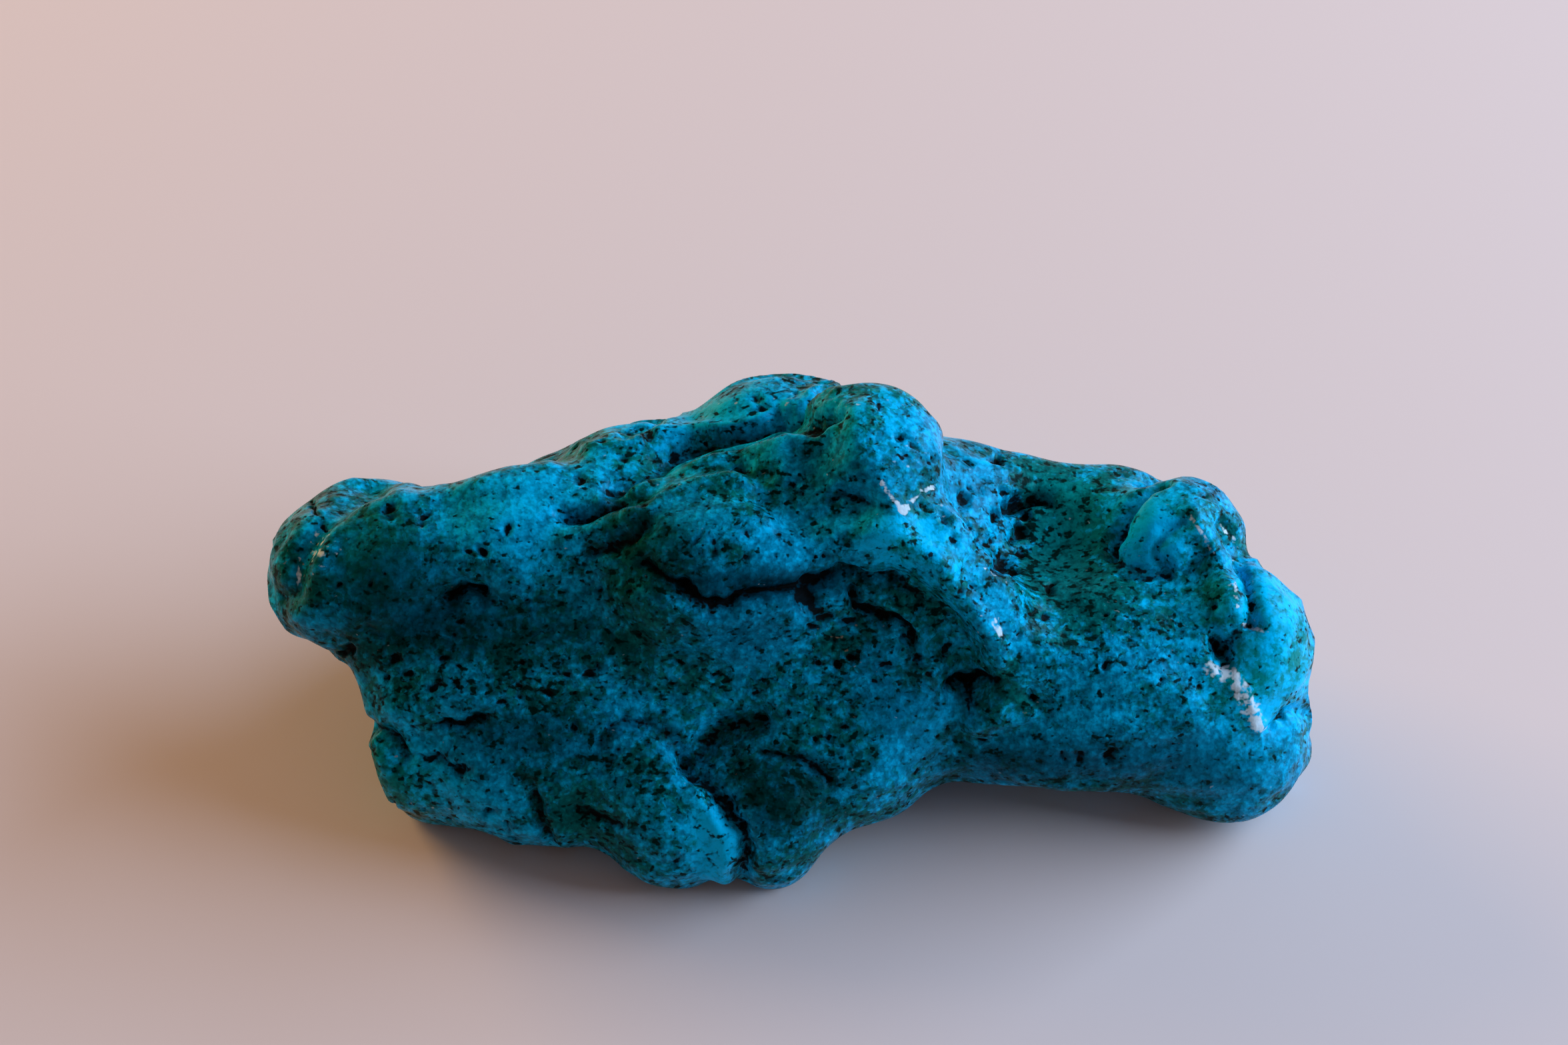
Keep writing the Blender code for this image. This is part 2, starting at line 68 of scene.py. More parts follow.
# Rounded masses: (centre), (half sizes)
LUMPS = {
    "core": ((0, 2, 19), (38, 22, 17)),
    "left_flank": ((-25, -10, 14), (24, 14, 13.5)),
    "left_back_lobe": ((-48.6, 5.4, 21), (10.4, 8, 8.5)),
    "arm_underside": ((-36, -7, 19), (14, 9, 8)),
    "left_foot": ((-40.3, -14, 8), (8.8, 8, 8.6)),
    "left_bank": ((-26, -17.6, 8.5), (12.5, 9, 8.5)),
    "toe": ((-13, -23.2, 8.5), (7.8, 8, 8.6)),
    "second_toe": ((-2.2, -23.3, 8.5), (7, 8, 8.5)),
    "low_front": ((4.5, -16, 13), (13.5, 10, 11)),
    "ridge_foot": ((12, -9, 21), (8, 9, 8)),
    "brow": ((-7, -8, 32), (15, 10, 9)),
    "peak": ((9.1, 1, 37.7), (8.8, 10, 10)),
    "rear_lump": ((-1, 11.3, 30), (12, 9, 9)),
    "rear_left_lump": ((-18, 7.5, 28.5), (9, 8, 8)),
    "right_body": ((32, -8.4, 14.6), (26, 14, 13.5)),
    "right_foot": ((49.2, -12.5, 8), (10.3, 8.8, 9)),
    "right_bulge": ((50.9, -7.6, 19), (8, 8.5, 9.5)),
    "right_knob": ((44.2, 2.5, 24.8), (7.6, 7, 7.6)),
    "knob_root": ((37.5, 3.5, 19.5), (10, 8, 8.8)),
    "back_wall": ((30, 10.5, 18.5), (18, 9, 9)),
    "back_right_foot": ((22, 12, 9), (14, 9, 10)),
    "back_bulge": ((-10, 16, 13), (24, 11.5, 14)),
    "back_left_knuckle": ((-33, 11, 13), (10, 9, 9)),
}

# Rolls: nodes of (x, y, z, radius)
ROLLS = {
    "left_arm": (
        (-50.8, -2, 24.6, 8.3), (-42, -3, 25.8, 9), (-30, -3, 27, 10), (-22, -2, 27.5, 10)),
    "second_crest": (
        (5, -1, 38, 4), (0, -1, 38.5, 4), (-8, -1, 36, 4), (-14, -1.5, 33.5, 4),
        (-20, -3, 31, 4)),
    "diagonal_ridge": (
        (8, -6, 36.5, 6), (15, -8.5, 34, 6), (20, -10.5, 30, 5.5), (24.5, -13, 24, 5.5)),
    "back_fold": ((-34, 9.5, 20.5, 4), (-22, 17.5, 20, 5), (-6, 21, 22, 5), (10, 19, 22, 4)),
}

# Hollows: (centre), (half sizes)
HOLLOWS = {
    "basin": ((29, 0, 38), (10, 10, 12)),
    "arch": ((26, -22, -3), (14, 13, 11)),
    "under_left_arm": ((-57, -12.5, 5), (12, 12, 13)),
    "under_middle": ((4, -3, -12), (22, 12, 16)),
    "under_left": ((-34, 3, -9), (15, 9, 15)),
    "back_scoop": ((4, 34, 30), (14, 9, 8)),
    "back_dent": ((36, 25, 14), (9, 8, 9)),
}
UNION_BLEND = 4.0
HOLLOW_BLEND = 4.0
ROLL_BLEND = 2.0

# The spine that the rays leave, by x
SPINE_X = (-50.0, -42.0, -20.0, 0.0, 20.0, 38.0, 51.0)
SPINE_Y = (-1.0, -2.0, -1.0, 0.0, -3.0, -5.0, -9.0)
SPINE_Z = (23.0, 22.0, 19.0, 19.0, 17.0, 17.0, 15.0)
SPINE_REACH = 50.0
SPINE_EASE = 0.5

# How a ray is followed inwards: its start off the spine, its steps, and how near the skin it ends
RAY_START = 44.0
RAY_STEPS = 50
RAY_STEP = 0.75
SKIN_TOLERANCE = 0.01

# The plane that the front relief is drawn on: it faces an eye that looks down at 45 degrees
EYE_TILT = np.radians(45.0)
EYE_FAR = 424.0
SIGHT_MIDDLE = np.array([0.0, -4.0, 17.0])
EYE_OFF_MIDDLE = (-0.4, 12.7)
SIGHT_ACROSS = np.array([1.0, 0.0, 0.0])
SIGHT_UP = np.array([0.0, np.sin(EYE_TILT), np.cos(EYE_TILT)])
SIGHT_IN = np.array([0.0, np.cos(EYE_TILT), -np.sin(EYE_TILT)])
EYE = (SIGHT_MIDDLE + SIGHT_ACROSS * EYE_OFF_MIDDLE[0] + SIGHT_UP * EYE_OFF_MIDDLE[1]
       - SIGHT_IN * EYE_FAR)

# Ridges (rise above zero) and grooves (below): rise, half width, points (across, up) on that plane
STROKES = {
    "end_valley": (-2.0, 1.8, ((-57, 4.5), (-56.2, 9), (-54, 12), (-51, 14.6), (-47, 16.9))),
    "arm_crest": (1.0, 1.7, (
        (-53.5, 8.5), (-51.8, 12.2), (-49.3, 14.8), (-46, 15.5), (-42, 15.2), (-38, 16.3),
        (-32, 17.4), (-27, 18))),
    "under_arm": (-0.8, 1.8, (
        (-47, -0.5), (-43.5, 1.6), (-40, 4.2), (-37, 5), (-33, 4), (-27, 4.5), (-21, 6),
        (-17, 7.3))),
    "arm_pit": (-2.0, 0.9, ((-38.6, 3.6), (-37.2, 4.3), (-35.4, 4))),
    "crevice": (-1.7, 0.8, (
        (-12.4, 5.8), (-11.4, 4.9), (-9.6, 3.6), (-8, 3), (-6, 3.8), (-3.4, 4.6), (-1, 5.3),
        (1.5, 5.6), (4, 5.9), (6, 6.2))),
    "crevice_start": (-1.0, 0.6, ((-17, 7.9), (-14.6, 6.8), (-12.4, 5.8))),
    "crevice_slope": (-0.7, 1.6, ((-15, 7.6), (-9, 5), (-4, 5.6), (2, 6.6), (7, 6.8))),
    "crevice_stain": (-0.4, 1.3, ((2.8, 4.8), (3.8, 2.8))),
    "brow_lip": (-0.1, 1.7, ((-14, 8.9), (-9, 6.9), (-4, 7), (1, 7.9), (5, 8.4))),
    "brow_crest": (0.9, 1.3, (
        (-17.3, 13.2), (-15.6, 15), (-13.5, 16.4), (-11, 17.5), (-8, 18), (-5, 17.5))),
    "brow_back_valley": (-1.2, 1.1, (
        (-19, 14.6), (-16, 16), (-13.5, 18), (-10, 19.1), (-6, 19.4), (-3, 18.4))),
    "brow_left_band": (-1.1, 0.8, ((-22, 8.9), (-20, 9.7), (-18, 10.7), (-16.3, 11.9))),
    "brow_spur": (0.8, 1.6, ((-25, 11), (-21.5, 11.8), (-18, 13.2))),
    "brow_left_valley": (-1.8, 1.0, ((-25.3, 13.4), (-23, 13.5), (-21, 14.2), (-19, 15.6))),
    "second_crest_line": (1.0, 1.0, (
        (-21, 14.9), (-16, 17.3), (-12, 19.2), (-8, 20.4), (-4, 21.3), (-1.5, 21.8), (1, 22.8),
        (4, 24))),
    "second_crest_valley": (-1.6, 1.2, (
        (-20, 17), (-15, 19.2), (-11, 21.2), (-7, 22.2), (-3, 23), (-1, 23.8))),
    "rear_left_line": (0.9, 1.0, (
        (-23, 21), (-19, 21.4), (-16.6, 21.9), (-14.6, 23.1), (-11, 23.2), (-6, 23.6),
        (-3, 24.4))),
    "rear_left_valley": (-0.9, 0.9, ((-18.5, 22.6), (-16.3, 22.8), (-15, 24))),
    "peak_left_slot": (-2.0, 0.9, ((0.8, 23.6), (3, 24.5), (5.3, 25.6))),
    "peak_left_edge": (1.0, 0.9, ((0, 24.4), (1.8, 25.8), (3.4, 27.2), (5.6, 28.1))),
    "peak_face_hollow": (-1.3, 2.4, ((3.2, 21.5), (3, 19), (4.2, 16.8), (6, 15.8), (8, 15.2))),
    "peak_spur": (0.9, 2.0, ((8, 25), (8.3, 21), (10, 17), (12.5, 13.2))),
    "saddle": (-1.0, 1.5, ((-3, 15.6), (-1.6, 14.1), (0, 13.2), (2, 12.9), (5, 13.6), (8, 13.6))),
    "saddle_pit": (-0.9, 0.7, ((4.4, 15.5), (5.6, 16.2), (6.8, 15.8), (8.8, 15))),
    "ridge_crest": (1.3, 1.4, ((9, 12), (13, 11), (17, 7.8), (20, 4), (23, -0.5), (24, -3))),
    "ridge_hollow": (-2.7, 2.2, ((12, 5.5), (15, 3.5), (18, 0.5), (19.8, -2.8), (20.5, -6))),
    "ridge_crack_upper": (-1.4, 0.65, ((6.4, 7.4), (7.6, 6.6), (9.2, 5.6))),
    "ridge_crack_middle": (-0.9, 0.6, ((10.3, 5.6), (11.4, 5.1), (12.6, 3.8), (14, 2.9), (15, 2))),
    "ridge_crack_lower": (-1.5, 0.6, (
        (7.9, 4.3), (8.1, 3), (9.3, 1.9), (11, 1.4), (12.6, 0.5), (13.6, -0.5), (14, -1.6))),
    "ridge_crack_ledge": (0.4, 0.9, ((9, 3.6), (11.4, 2.8), (13.5, 1.3), (14.8, -0.6))),
    "valley_pit": (-1.1, 0.95, ((18.6, -6.7), (20.3, -7), (22, -6.3), (23.8, -6.2))),
    "valley_pit_tail": (-0.8, 0.8, ((20.3, -7.2), (20.7, -8.8))),
    "valley_ledge": (1.2, 1.6, ((21.5, -10), (24, -9.4))),
    "valley_wall": (-0.9, 1.3, ((19.6, -4), (19.8, -8.5), (19.4, -12.5))),
    "knob_edge": (-1.9, 0.75, (
        (43, 17.8), (41, 16.4), (39, 14.4), (37.6, 12.5), (36.9, 10.8), (36.8, 9))),
    "knob_base": (-0.6, 0.7, ((36.8, 9), (37.8, 7.7), (39.5, 7), (41.8, 6.8), (43.5, 7))),
    "knob_fold": (-0.8, 0.7, ((45.5, 12.4), (43.2, 11.4), (42.3, 9.6), (42.6, 8), (43.6, 7))),
    "knob_fold_lower": (-0.7, 0.7, ((46.8, 10), (47.2, 8.4), (45.5, 7.2))),
    "knob_rib": (1.1, 1.6, ((46.5, 13.4), (48, 10.2), (49.4, 7), (50.5, 3.8), (51.2, 1.2))),
    "knob_rib_valley": (-1.3, 0.9, ((50.3, 12.6), (51.3, 9.8), (52, 6.8), (52.8, 3.8), (53, 1.6))),
    "bulge_edge": (-1.4, 0.9, ((53, 1.4), (51.2, 0), (50.3, -1.6), (50.2, -3.4))),
    "bulge_pit": (-2.4, 1.0, ((48.9, -0.9), (49.5, -2))),
    "crust_vein": (0.5, 0.9, (
        (48.6, -4.1), (50.4, -4.5), (51.4, -6), (52.3, -7.5), (53.2, -9.5), (54, -10.6))),
    "side_notch": (-0.9, 0.9, ((59, -9.2), (57.2, -9.5), (55.6, -10.4))),
    "basin_steps": (-1.4, 0.9, ((25.4, 14.3), (27, 14.8), (28.6, 15.4), (30, 15.5))),
    "right_fold": (-0.7, 0.9, ((24.5, -12), (27.5, -11.5), (29.4, -10), (29.6, -8), (28, -6.8))),
    "right_shoulder": (0.8, 2.6, ((30, -3), (37, -4), (44, -7), (50, -12))),
    "notch": (-1.3, 0.9, ((-48, -10.4), (-46.3, -11), (-45, -12.6), (-44.4, -15))),
    "foot_dashes": (-0.6, 0.6, ((-43, -14.4), (-40, -14.6), (-38, -15.8), (-36.4, -15.9))),
    "foot_crack": (-1.1, 0.6, ((-29.4, -17.9), (-28.7, -19.6), (-28.2, -21.4), (-27, -23.6))),
    "foot_crack_lip": (0.5, 1.3, ((-28.2, -17.4), (-27.4, -19.4), (-26.8, -21.6), (-25.4, -23.8))),
    "toe_arc": (-0.9, 0.8, (
        (-21.5, -12.8), (-20, -11.2), (-18, -10.6), (-16, -10.8), (-14.4, -11.7), (-13, -13),
        (-12, -14.6))),
    "toe_cleft": (-1.7, 0.9, (
        (-12, -14.8), (-10.8, -16.6), (-8.6, -18.4), (-6.8, -19.8), (-5.2, -21.8), (-4.7, -24.2),
        (-4.9, -26.6), (-5.3, -28.6))),
    "toe_shoulder": (1.1, 1.5, (
        (-10.6, -18.4), (-8.4, -20.6), (-7.2, -23), (-6.9, -26), (-7.5, -28))),
    "toe_pits": (-0.7, 0.7, ((-24.2, -20.4), (-22, -21), (-20.6, -21.4), (-19.4, -22.6))),
    "second_toe_arc": (-1.7, 1.6, (
        (-10.6, -14.4), (-9.4, -12.6), (-8, -11.5), (-5.6, -10.7), (-3, -10))),
    "second_toe_crack": (-1.0, 0.7, (
        (-3, -13.6), (-1, -13.8), (1, -14.5), (3, -15.6), (5.4, -16.8))),
    "flank_dash": (-0.8, 0.6, ((-40.4, -10.9), (-37.8, -10.4), (-34.9, -9.8))),
    "flank_swell": (0.9, 3.0, ((-44, -8), (-36, -4), (-26, -2), (-16, -2))),
    "flank_band": (-0.9, 2.6, ((-44, -12.5), (-34, -11.5), (-25, -8), (-14, -7.5))),
}

# Low swellings and dips: across, up, half across, half up, rise
SWELLS = {
    "arm_front": (-42, 9.5, 7, 4, 0.8),
    "brow_front": (-7, 11, 9, 4, 1.0),
    "lower_right_front": (12, -9, 6, 5, 1.2),
    "middle_dip": (3, -2, 5, 3, -0.6),
    "second_toe_top": (-2, -18.5, 6, 5, 1.2),
    "toe_top": (-17, -18, 5, 5, 0.9),
    "bank_top": (-36, -18.5, 5, 3.5, 0.8),
    "left_foot_top": (-46.5, -14.5, 3.5, 3.5, 0.6),
    "knob_top": (41.5, 11.5, 3.6, 3.8, 1.2),
    "knob_middle": (45, 9.4, 1.8, 1.8, 0.6),
    "bulge_side": (55, -3, 3.5, 6, 0.6),
    "peak_face": (15, 21, 5, 5, 0.6),
    "basin_floor": (30, 10, 4, 5, -0.8),
    "right_dip": (36, 2, 6, 3, -0.5),
    "right_foot_top": (50, -15, 6, 4, 0.6),
}

# Pits with dark matrix in them: across, up, radius, stretch along the grain
PITS = (
    (-45.3, 13.8, 0.75, 1.2), (-41.8, 13.1, 0.65, 1.5), (-32.5, 12.2, 0.6, 1.2),
    (-35, 9.3, 0.75, 1.2), (-36.6, 9.3, 0.45, 1.2), (-47.8, 5.8, 0.4, 1.2),
    (-51.2, 5.2, 0.45, 1.2), (-50.6, -1.9, 0.75, 2.2), (-45, -2.6, 0.6, 1.3),
    (-42.8, -4.1, 0.65, 1.2), (-45.3, -4.5, 0.4, 1.0), (-39, -3, 0.65, 1.6),
    (-37.8, -3.9, 0.4, 1.0), (-40.3, -6, 0.55, 1.8), (-30.8, -6.1, 0.4, 1.2),
    (-33.2, -8, 0.5, 1.6), (-30.8, -7.7, 0.4, 1.6), (-27.5, -6.8, 0.5, 1.6),
    (-24.6, -10.5, 0.42, 1.0), (-24.7, -7, 0.36, 1.0), (-25.4, -4.8, 0.5, 1.4),
    (-23, -4.7, 0.6, 1.5), (-21.8, -3.7, 0.5, 1.0), (-37.4, 1.3, 0.4, 1.3), (-33.6, 3.5, 0.4, 1.2),
    (-30.2, 3, 0.4, 1.3), (-30.5, -3.8, 0.4, 1.0), (-12.3, -3.2, 0.45, 1.0),
    (-7.8, -4.8, 0.5, 1.0), (-13, -6, 0.4, 1.4), (-3.3, -7.1, 0.4, 1.0), (-17.8, 4.7, 0.4, 1.2),
    (-22.5, 4.8, 0.4, 1.5), (-24.3, 13.6, 0.7, 1.4), (-24, 17.6, 0.55, 1.0),
    (-20.9, 17, 0.55, 1.2), (-8.8, 2.8, 0.7, 1.3), (-6.6, 3.2, 0.6, 1.2), (2.5, 4.0, 1.5, 1.4),
    (-39.9, -10.7, 0.7, 0.8), (-39.2, -10.7, 0.7, 0.8), (-36.5, -10, 0.6, 0.9),
    (-35.7, -9.9, 0.6, 0.9), (-38, -15.5, 0.7, 0.8), (-37.2, -15.4, 0.7, 0.8),
    (-40.8, -14.5, 0.5, 0.7), (-33.9, -20.3, 0.7, 0.8), (-32, -21.9, 0.5, 0.7),
    (-24.6, -10.4, 0.6, 1.0), (4.6, 1.8, 0.7, 1.4), (3.4, 0.3, 0.7, 1.2), (5.2, -0.9, 0.4, 1.0),
    (7.2, -2.8, 0.7, 0.9), (5.2, -3.6, 0.6, 1.4), (3.4, -4.1, 0.55, 1.3), (11, -3.8, 0.55, 1.3),
    (12.9, -1.4, 0.5, 1.0), (14.7, -3.1, 0.85, 1.0), (16.3, -5, 0.45, 1.2), (18, -2.7, 0.5, 1.2),
    (7, 1.2, 0.6, 1.8), (10.3, -5.2, 0.4, 1.0), (4.8, -12, 0.55, 1.2), (3.1, -12.4, 0.45, 1.2),
    (3.7, -8.7, 0.4, 1.2), (6.6, -10.4, 0.5, 1.4), (-5.3, -15, 0.4, 1.0), (3.5, -17.5, 0.35, 1.0),
    (-12.7, -26.4, 0.5, 1.2), (-11, -16.5, 0.8, 1.2), (-4.9, -21.6, 0.8, 1.0),
    (-33.8, -20.4, 0.45, 1.6), (-44.9, -19.4, 0.5, 1.0), (-47.3, -13, 0.35, 1.0),
    (-3.2, -9.9, 0.5, 1.3), (20.4, 11.8, 0.6, 1.1), (24.2, 20, 0.5, 0.9), (13.3, 22.3, 0.6, 0.9),
    (21.8, 10.5, 0.5, 1.0), (16.5, 19.5, 0.55, 0.8), (27.5, 13.6, 0.7, 1.2), (19.8, 15, 0.9, 1.0),
    (23.4, 13.3, 0.8, 0.8), (17.8, 12.9, 0.7, 0.9), (26.6, 11.6, 1.0, 1.3), (24.9, 8.4, 1.1, 1.0),
    (25.6, 7.2, 0.8, 1.0), (26.8, 15.2, 1.1, 1.8), (28.8, 15.5, 0.8, 1.5), (24.3, 16.2, 0.6, 1.2),
    (23, 10.4, 0.5, 1.2), (19, 10.5, 0.55, 1.0), (21.7, 10.1, 0.45, 1.4), (27, 9.4, 0.6, 1.0),
    (16.6, 20, 0.55, 1.0), (24.2, 19.8, 0.6, 1.2), (13, 22.3, 0.55, 1.0), (14.4, 21.4, 0.5, 1.0),
    (15.6, 19.5, 0.45, 1.0), (20.4, 19.6, 0.4, 1.0), (20.5, 16.3, 0.5, 1.0),
    (15.5, 14.1, 0.4, 1.0), (13.1, 19.8, 0.3, 1.0), (30.3, 5.3, 0.7, 0.9), (28.6, 2.1, 0.4, 1.4),
    (30.4, 1.9, 0.5, 1.6), (36.4, 1.8, 0.4, 1.2), (21, 5.4, 0.4, 1.0), (22.3, 3.8, 0.4, 1.3),
    (25.9, -0.3, 0.35, 1.0), (36, -3.6, 0.45, 1.0), (49, 2.6, 0.6, 1.0), (53.1, 3.6, 0.6, 1.0),
    (57.6, -9.4, 0.7, 1.2), (28.8, -7.5, 0.6, 1.0), (42.2, -5.4, 0.4, 1.0),
    (36.6, -13.6, 0.6, 1.4), (31, -14, 0.5, 1.2), (33, -13.8, 0.5, 1.2), (22.2, -12.4, 0.4, 2.0),
    (-4.6, 11.2, 0.45, 1.2), (-8, 8.8, 0.5, 1.0), (-0.9, 9.2, 0.4, 1.0), (3.9, 9, 0.5, 1.0),
    (2.8, 8.7, 0.4, 1.0), (-10.2, 10.1, 0.35, 1.4), (-5.5, 19.2, 0.55, 1.4), (0, 16.6, 0.4, 1.0),
    (-3.4, 26, 0.6, 1.2), (3.4, 24.4, 0.7, 1.0), (-13.5, 20.6, 0.6, 1.4), (-16, 22.1, 0.5, 1.5),
    (-7.2, 21.5, 0.6, 1.4), (10, 26, 0.5, 1.0), (-53.7, 13.6, 0.5, 1.3), (-54.4, 15, 0.45, 1.0),
    (47.6, 15.9, 0.4, 1.2), (41.2, 15.9, 0.4, 1.0),
)
# What every radius is multiplied by, how deep a pit of radius 1 is, and how the grain tilts
PIT_SIZE = 0.85
PIT_DEPTH = 1.2
PIT_TILT = np.radians(15.0)

# Grooves whose floor is painted dark, and how much: dark matrix, and painted shade deep in the
# groove
MATRIX_AND_SHADE_STROKES = {
    "crevice": 1.0, "crevice_start": 0.9, "crevice_stain": 1.0, "arm_pit": 1.0,
    "brow_left_band": 0.75, "brow_left_valley": 0.8, "peak_left_slot": 0.8, "saddle_pit": 0.7,
    "ridge_crack_upper": 0.65, "ridge_crack_middle": 0.8, "ridge_crack_lower": 0.95,
    "valley_pit": 1.0, "valley_pit_tail": 0.85, "knob_edge": 0.8, "knob_base": 0.7,
    "knob_fold": 0.4, "bulge_edge": 0.75, "bulge_pit": 1.0, "basin_steps": 0.9, "notch": 0.7,
    "foot_crack": 0.9, "toe_arc": 0.6, "toe_cleft": 0.85, "second_toe_arc": 0.6,
    "second_toe_crack": 0.75, "toe_pits": 0.85, "flank_dash": 0.9, "foot_dashes": 0.85,
    "second_crest_valley": 0.6,
}

# Zones of the skin: across, up, half across, half up, how much bluer (above zero) or greener, and
# how much lighter or darker, in doublings. The lighter or darker column is mostly painted light
# and shade: lit tops, crests and the toe's edge get painted highlights, and shaded undersides,
# hollows and fronts get painted shade, over some of the stone's own tone
TONE_AND_PAINTED_LIGHT_ZONES = {
    "arm_top": (-31, 13, 7, 4, 3.2, 0.6),
    "arm_front": (-46, 7, 7, 6, -0.2, -1.15),
    "arm_under": (-38, 1, 12, 4, -0.2, -1.85),
    "left_tip": (-57, 6, 3, 6, -0.8, -0.3),
    "flank": (-27, -3, 14, 5, -0.4, -0.3),
    "flank_low": (-30, -12, 12, 4, 0.4, -1.3),
    "left_foot": (-43, -16, 6, 6, -0.1, 0.8),
    "bank": (-38, -19, 5, 4, 0.8, 0.0),
    "toe": (-19, -18, 6, 6, -0.3, 0.0),
    "second_toe": (-1, -19, 7, 5, -1.2, -2.3),
    "toe_low": (-16, -25, 9, 3, -0.2, -0.2),
    "bank_side": (-27, -18, 5, 5, -0.6, -0.5),
    "toe_edge": (-7.8, -22.5, 3.2, 5.5, 2.0, 2.3),
    "brow_front": (-2, 11, 9, 3.5, 1.1, -0.1),
    "brow_left": (-16, 11, 6, 5, -0.3, -1.5),
    "brow_underside": (-3, 5.7, 11, 1.7, 0.5, -2.6),
    "below_crevice": (-5, 0, 6, 4.5, 2.0, -1.0),
    "crevice_left": (-17, -1, 5, 6, -0.8, -0.5),
    "brown_cluster": (8, -1, 5, 3.5, -0.9, -0.7),
    "middle_low": (1, -8, 6, 5, -0.5, 0.0),
    "lower_right_front": (13, -8, 5, 5, 0.8, -1.2),
    "ridge_top": (14, 11, 5, 2.5, 0.5, 2.1),
    "ridge_wall": (16, 4, 4, 5, -0.6, 0.4),
    "ridge_foot": (19.5, -3, 2.5, 3, 0.0, 0.6),
    "ridge_side": (22, 6, 4, 7, 0.8, 0.0),
    "right_face": (17, 18, 10, 9, 0.6, -0.25),
    "peak_top": (11, 25, 6, 4, -0.1, 0.7),
    "peak_left": (3, 19, 4, 4, 0.6, -0.6),
    "rear": (-6, 25, 10, 3, 2.2, 0.8),
    "rear_left": (-17, 20, 6, 3, -0.6, 0.7),
    "basin": (32, 11, 6, 8, -2.4, 0.85),
    "basin_low": (34, 3, 6, 4, -1.3, -0.5),
    "right_middle": (39, -5, 7, 4, 0.7, -0.25),
    "valley_ledge": (25, -8, 4, 3, -0.6, 0.0),
    "arch_lip": (28, -15, 12, 3, 0.4, -1.7),
    "knob": (42, 11.5, 4.5, 4.5, 1.2, 1.7),
    "bulge": (55, -2, 6, 9, 0.2, 2.1),
    "under_right": (42, -15, 7, 4, 0.2, -0.9),
    "right_foot": (52, -15, 9, 5, 0.8, -0.65),
}

# Where dark matrix specks crowd or, below zero, are few: across, up, half across, half up, amount
SPECKLED = {
    "flank": (-30, -3, 16, 7, -0.2),
    "flank_band": (-33, -5.5, 12, 3, 1.4),
    "brow_left": (-16, 10, 6, 5, 0.9),
    "brown_cluster": (6, -1, 6, 4, 0.8),
    "ridge_wall": (12, 4, 6, 4, 0.6),
    "peak_left": (3, 18, 5, 4, 0.9),
    "rear": (-6, 24, 14, 3, 1.2),
    "basin": (30, 8, 7, 7, 0.6),
    "basin_edge": (26.5, 12, 3, 5, 1.6),
    "right_middle": (38, -6, 8, 5, 0.5),
    "knob": (42, 12, 4, 4, -1.2),
    "bulge": (55, -3, 5, 9, -1.1),
    "right_face": (17, 18, 7, 7, -0.6),
    "arm_front": (-46, 7, 7, 6, -1.3),
    "right_foot": (50, -15, 9, 5, -0.6),
    "lower_right_front": (14, -10, 6, 5, -0.5),
    "arm_top": (-31, 14, 7, 3, -0.4),
    "second_toe": (0, -18, 6, 5, 0.4),
    "toe_edge": (-7.5, -22, 3, 5, 0.8),
    "toe_low": (-17, -22, 8, 5, 0.5),
    "middle_low": (-8, -9, 12, 4, -0.3),
}

# Pale crust left in the low places: strength, half width, points (across, up)
CRUST = (
    (0.9, 0.5, ((10.8, 17.3), (12.2, 15.3), (13.3, 14))),
    (0.9, 0.5, ((17, 17), (15.3, 16.3), (14, 14.8), (13.3, 14))),
    (1.0, 1.5, ((48.6, -4.2), (50.6, -4.6), (51.6, -6), (52.5, -7.6), (53.4, -9.2), (54, -10.6))),
    (0.85, 0.5, ((46, 13.5), (47.5, 11.5), (48.8, 9))),
    (0.85, 0.45, ((49.5, 12.3), (51, 11), (51.5, 9.5))),
    (0.85, 0.45, ((51.2, 6), (51.5, 3))),
    (0.85, 0.5, ((52.3, 1), (55, 0))),
    (0.9, 0.6, ((23.4, 2), (24.6, -0.6))),
    (0.7, 0.4, ((22.2, 7.8), (23.8, 6.6))),
    (0.7, 0.35, ((57.6, -12.3), (58.1, -12.3))),
    (0.65, 0.35, ((-27, 14.3), (-26.5, 14.4))),
    (0.9, 0.5, ((-56, 8.5), (-56, 5.5))),
)

# Places with pale grains only, mostly crust, with a painted sheen at the arm's end: across, up,
# half across, half up, amount
PALE_GRAINS = {
    "right_face": (15, 19, 7, 7, 0.9),
    "rear": (-3, 26, 10, 2.5, 1.0),
    "brow_left": (-14, 16, 5, 4, 0.6),
    "ridge_side": (23, 2, 4, 6, 0.6),
    "arm_end": (-54, 10, 3, 5, 0.7),
    # A painted sheen: pale grains where the hollow at the arm's end shows a grey reflection
    "painted_sheen_arm_end": (-53.2, 9.3, 1.6, 2.4, 2.3),
    "bulge": (52, 4, 3, 8, 0.9),
    "foot_rim": (-43, -20.5, 6, 1.3, 1.3),
    "basin_low": (40, 2, 6, 5, 0.6),
}

# Pinkish rusty grains: across, up, half across, half up, amount
RUSTY = {
    "right_middle": (40, 2, 6, 4, 1.0),
    "brown_cluster": (7, -0.5, 5, 4, 1.7),
    "arm_end": (-55.6, 7.5, 1.2, 2.2, 1.0),
    "left_foot": (-45, -12.5, 1.5, 2.5, 1.5),
    "foot_rim": (-44, -20, 5, 1.5, 1.0),
    "basin": (31, 14, 5, 5, 0.5),
    "ridge_top": (13, 9.5, 4, 2, 0.6),
    "brow_left": (-16, 13, 4, 3, 0.5),
    "rear": (-4, 25.5, 9, 2, 0.6),
}

# Where the front relief fades out: cosine of the skin to the eye, and depth behind the plane
FACING_FADE = (-0.15, 0.2)
DEPTH_FADE = (3.0, 9.0)

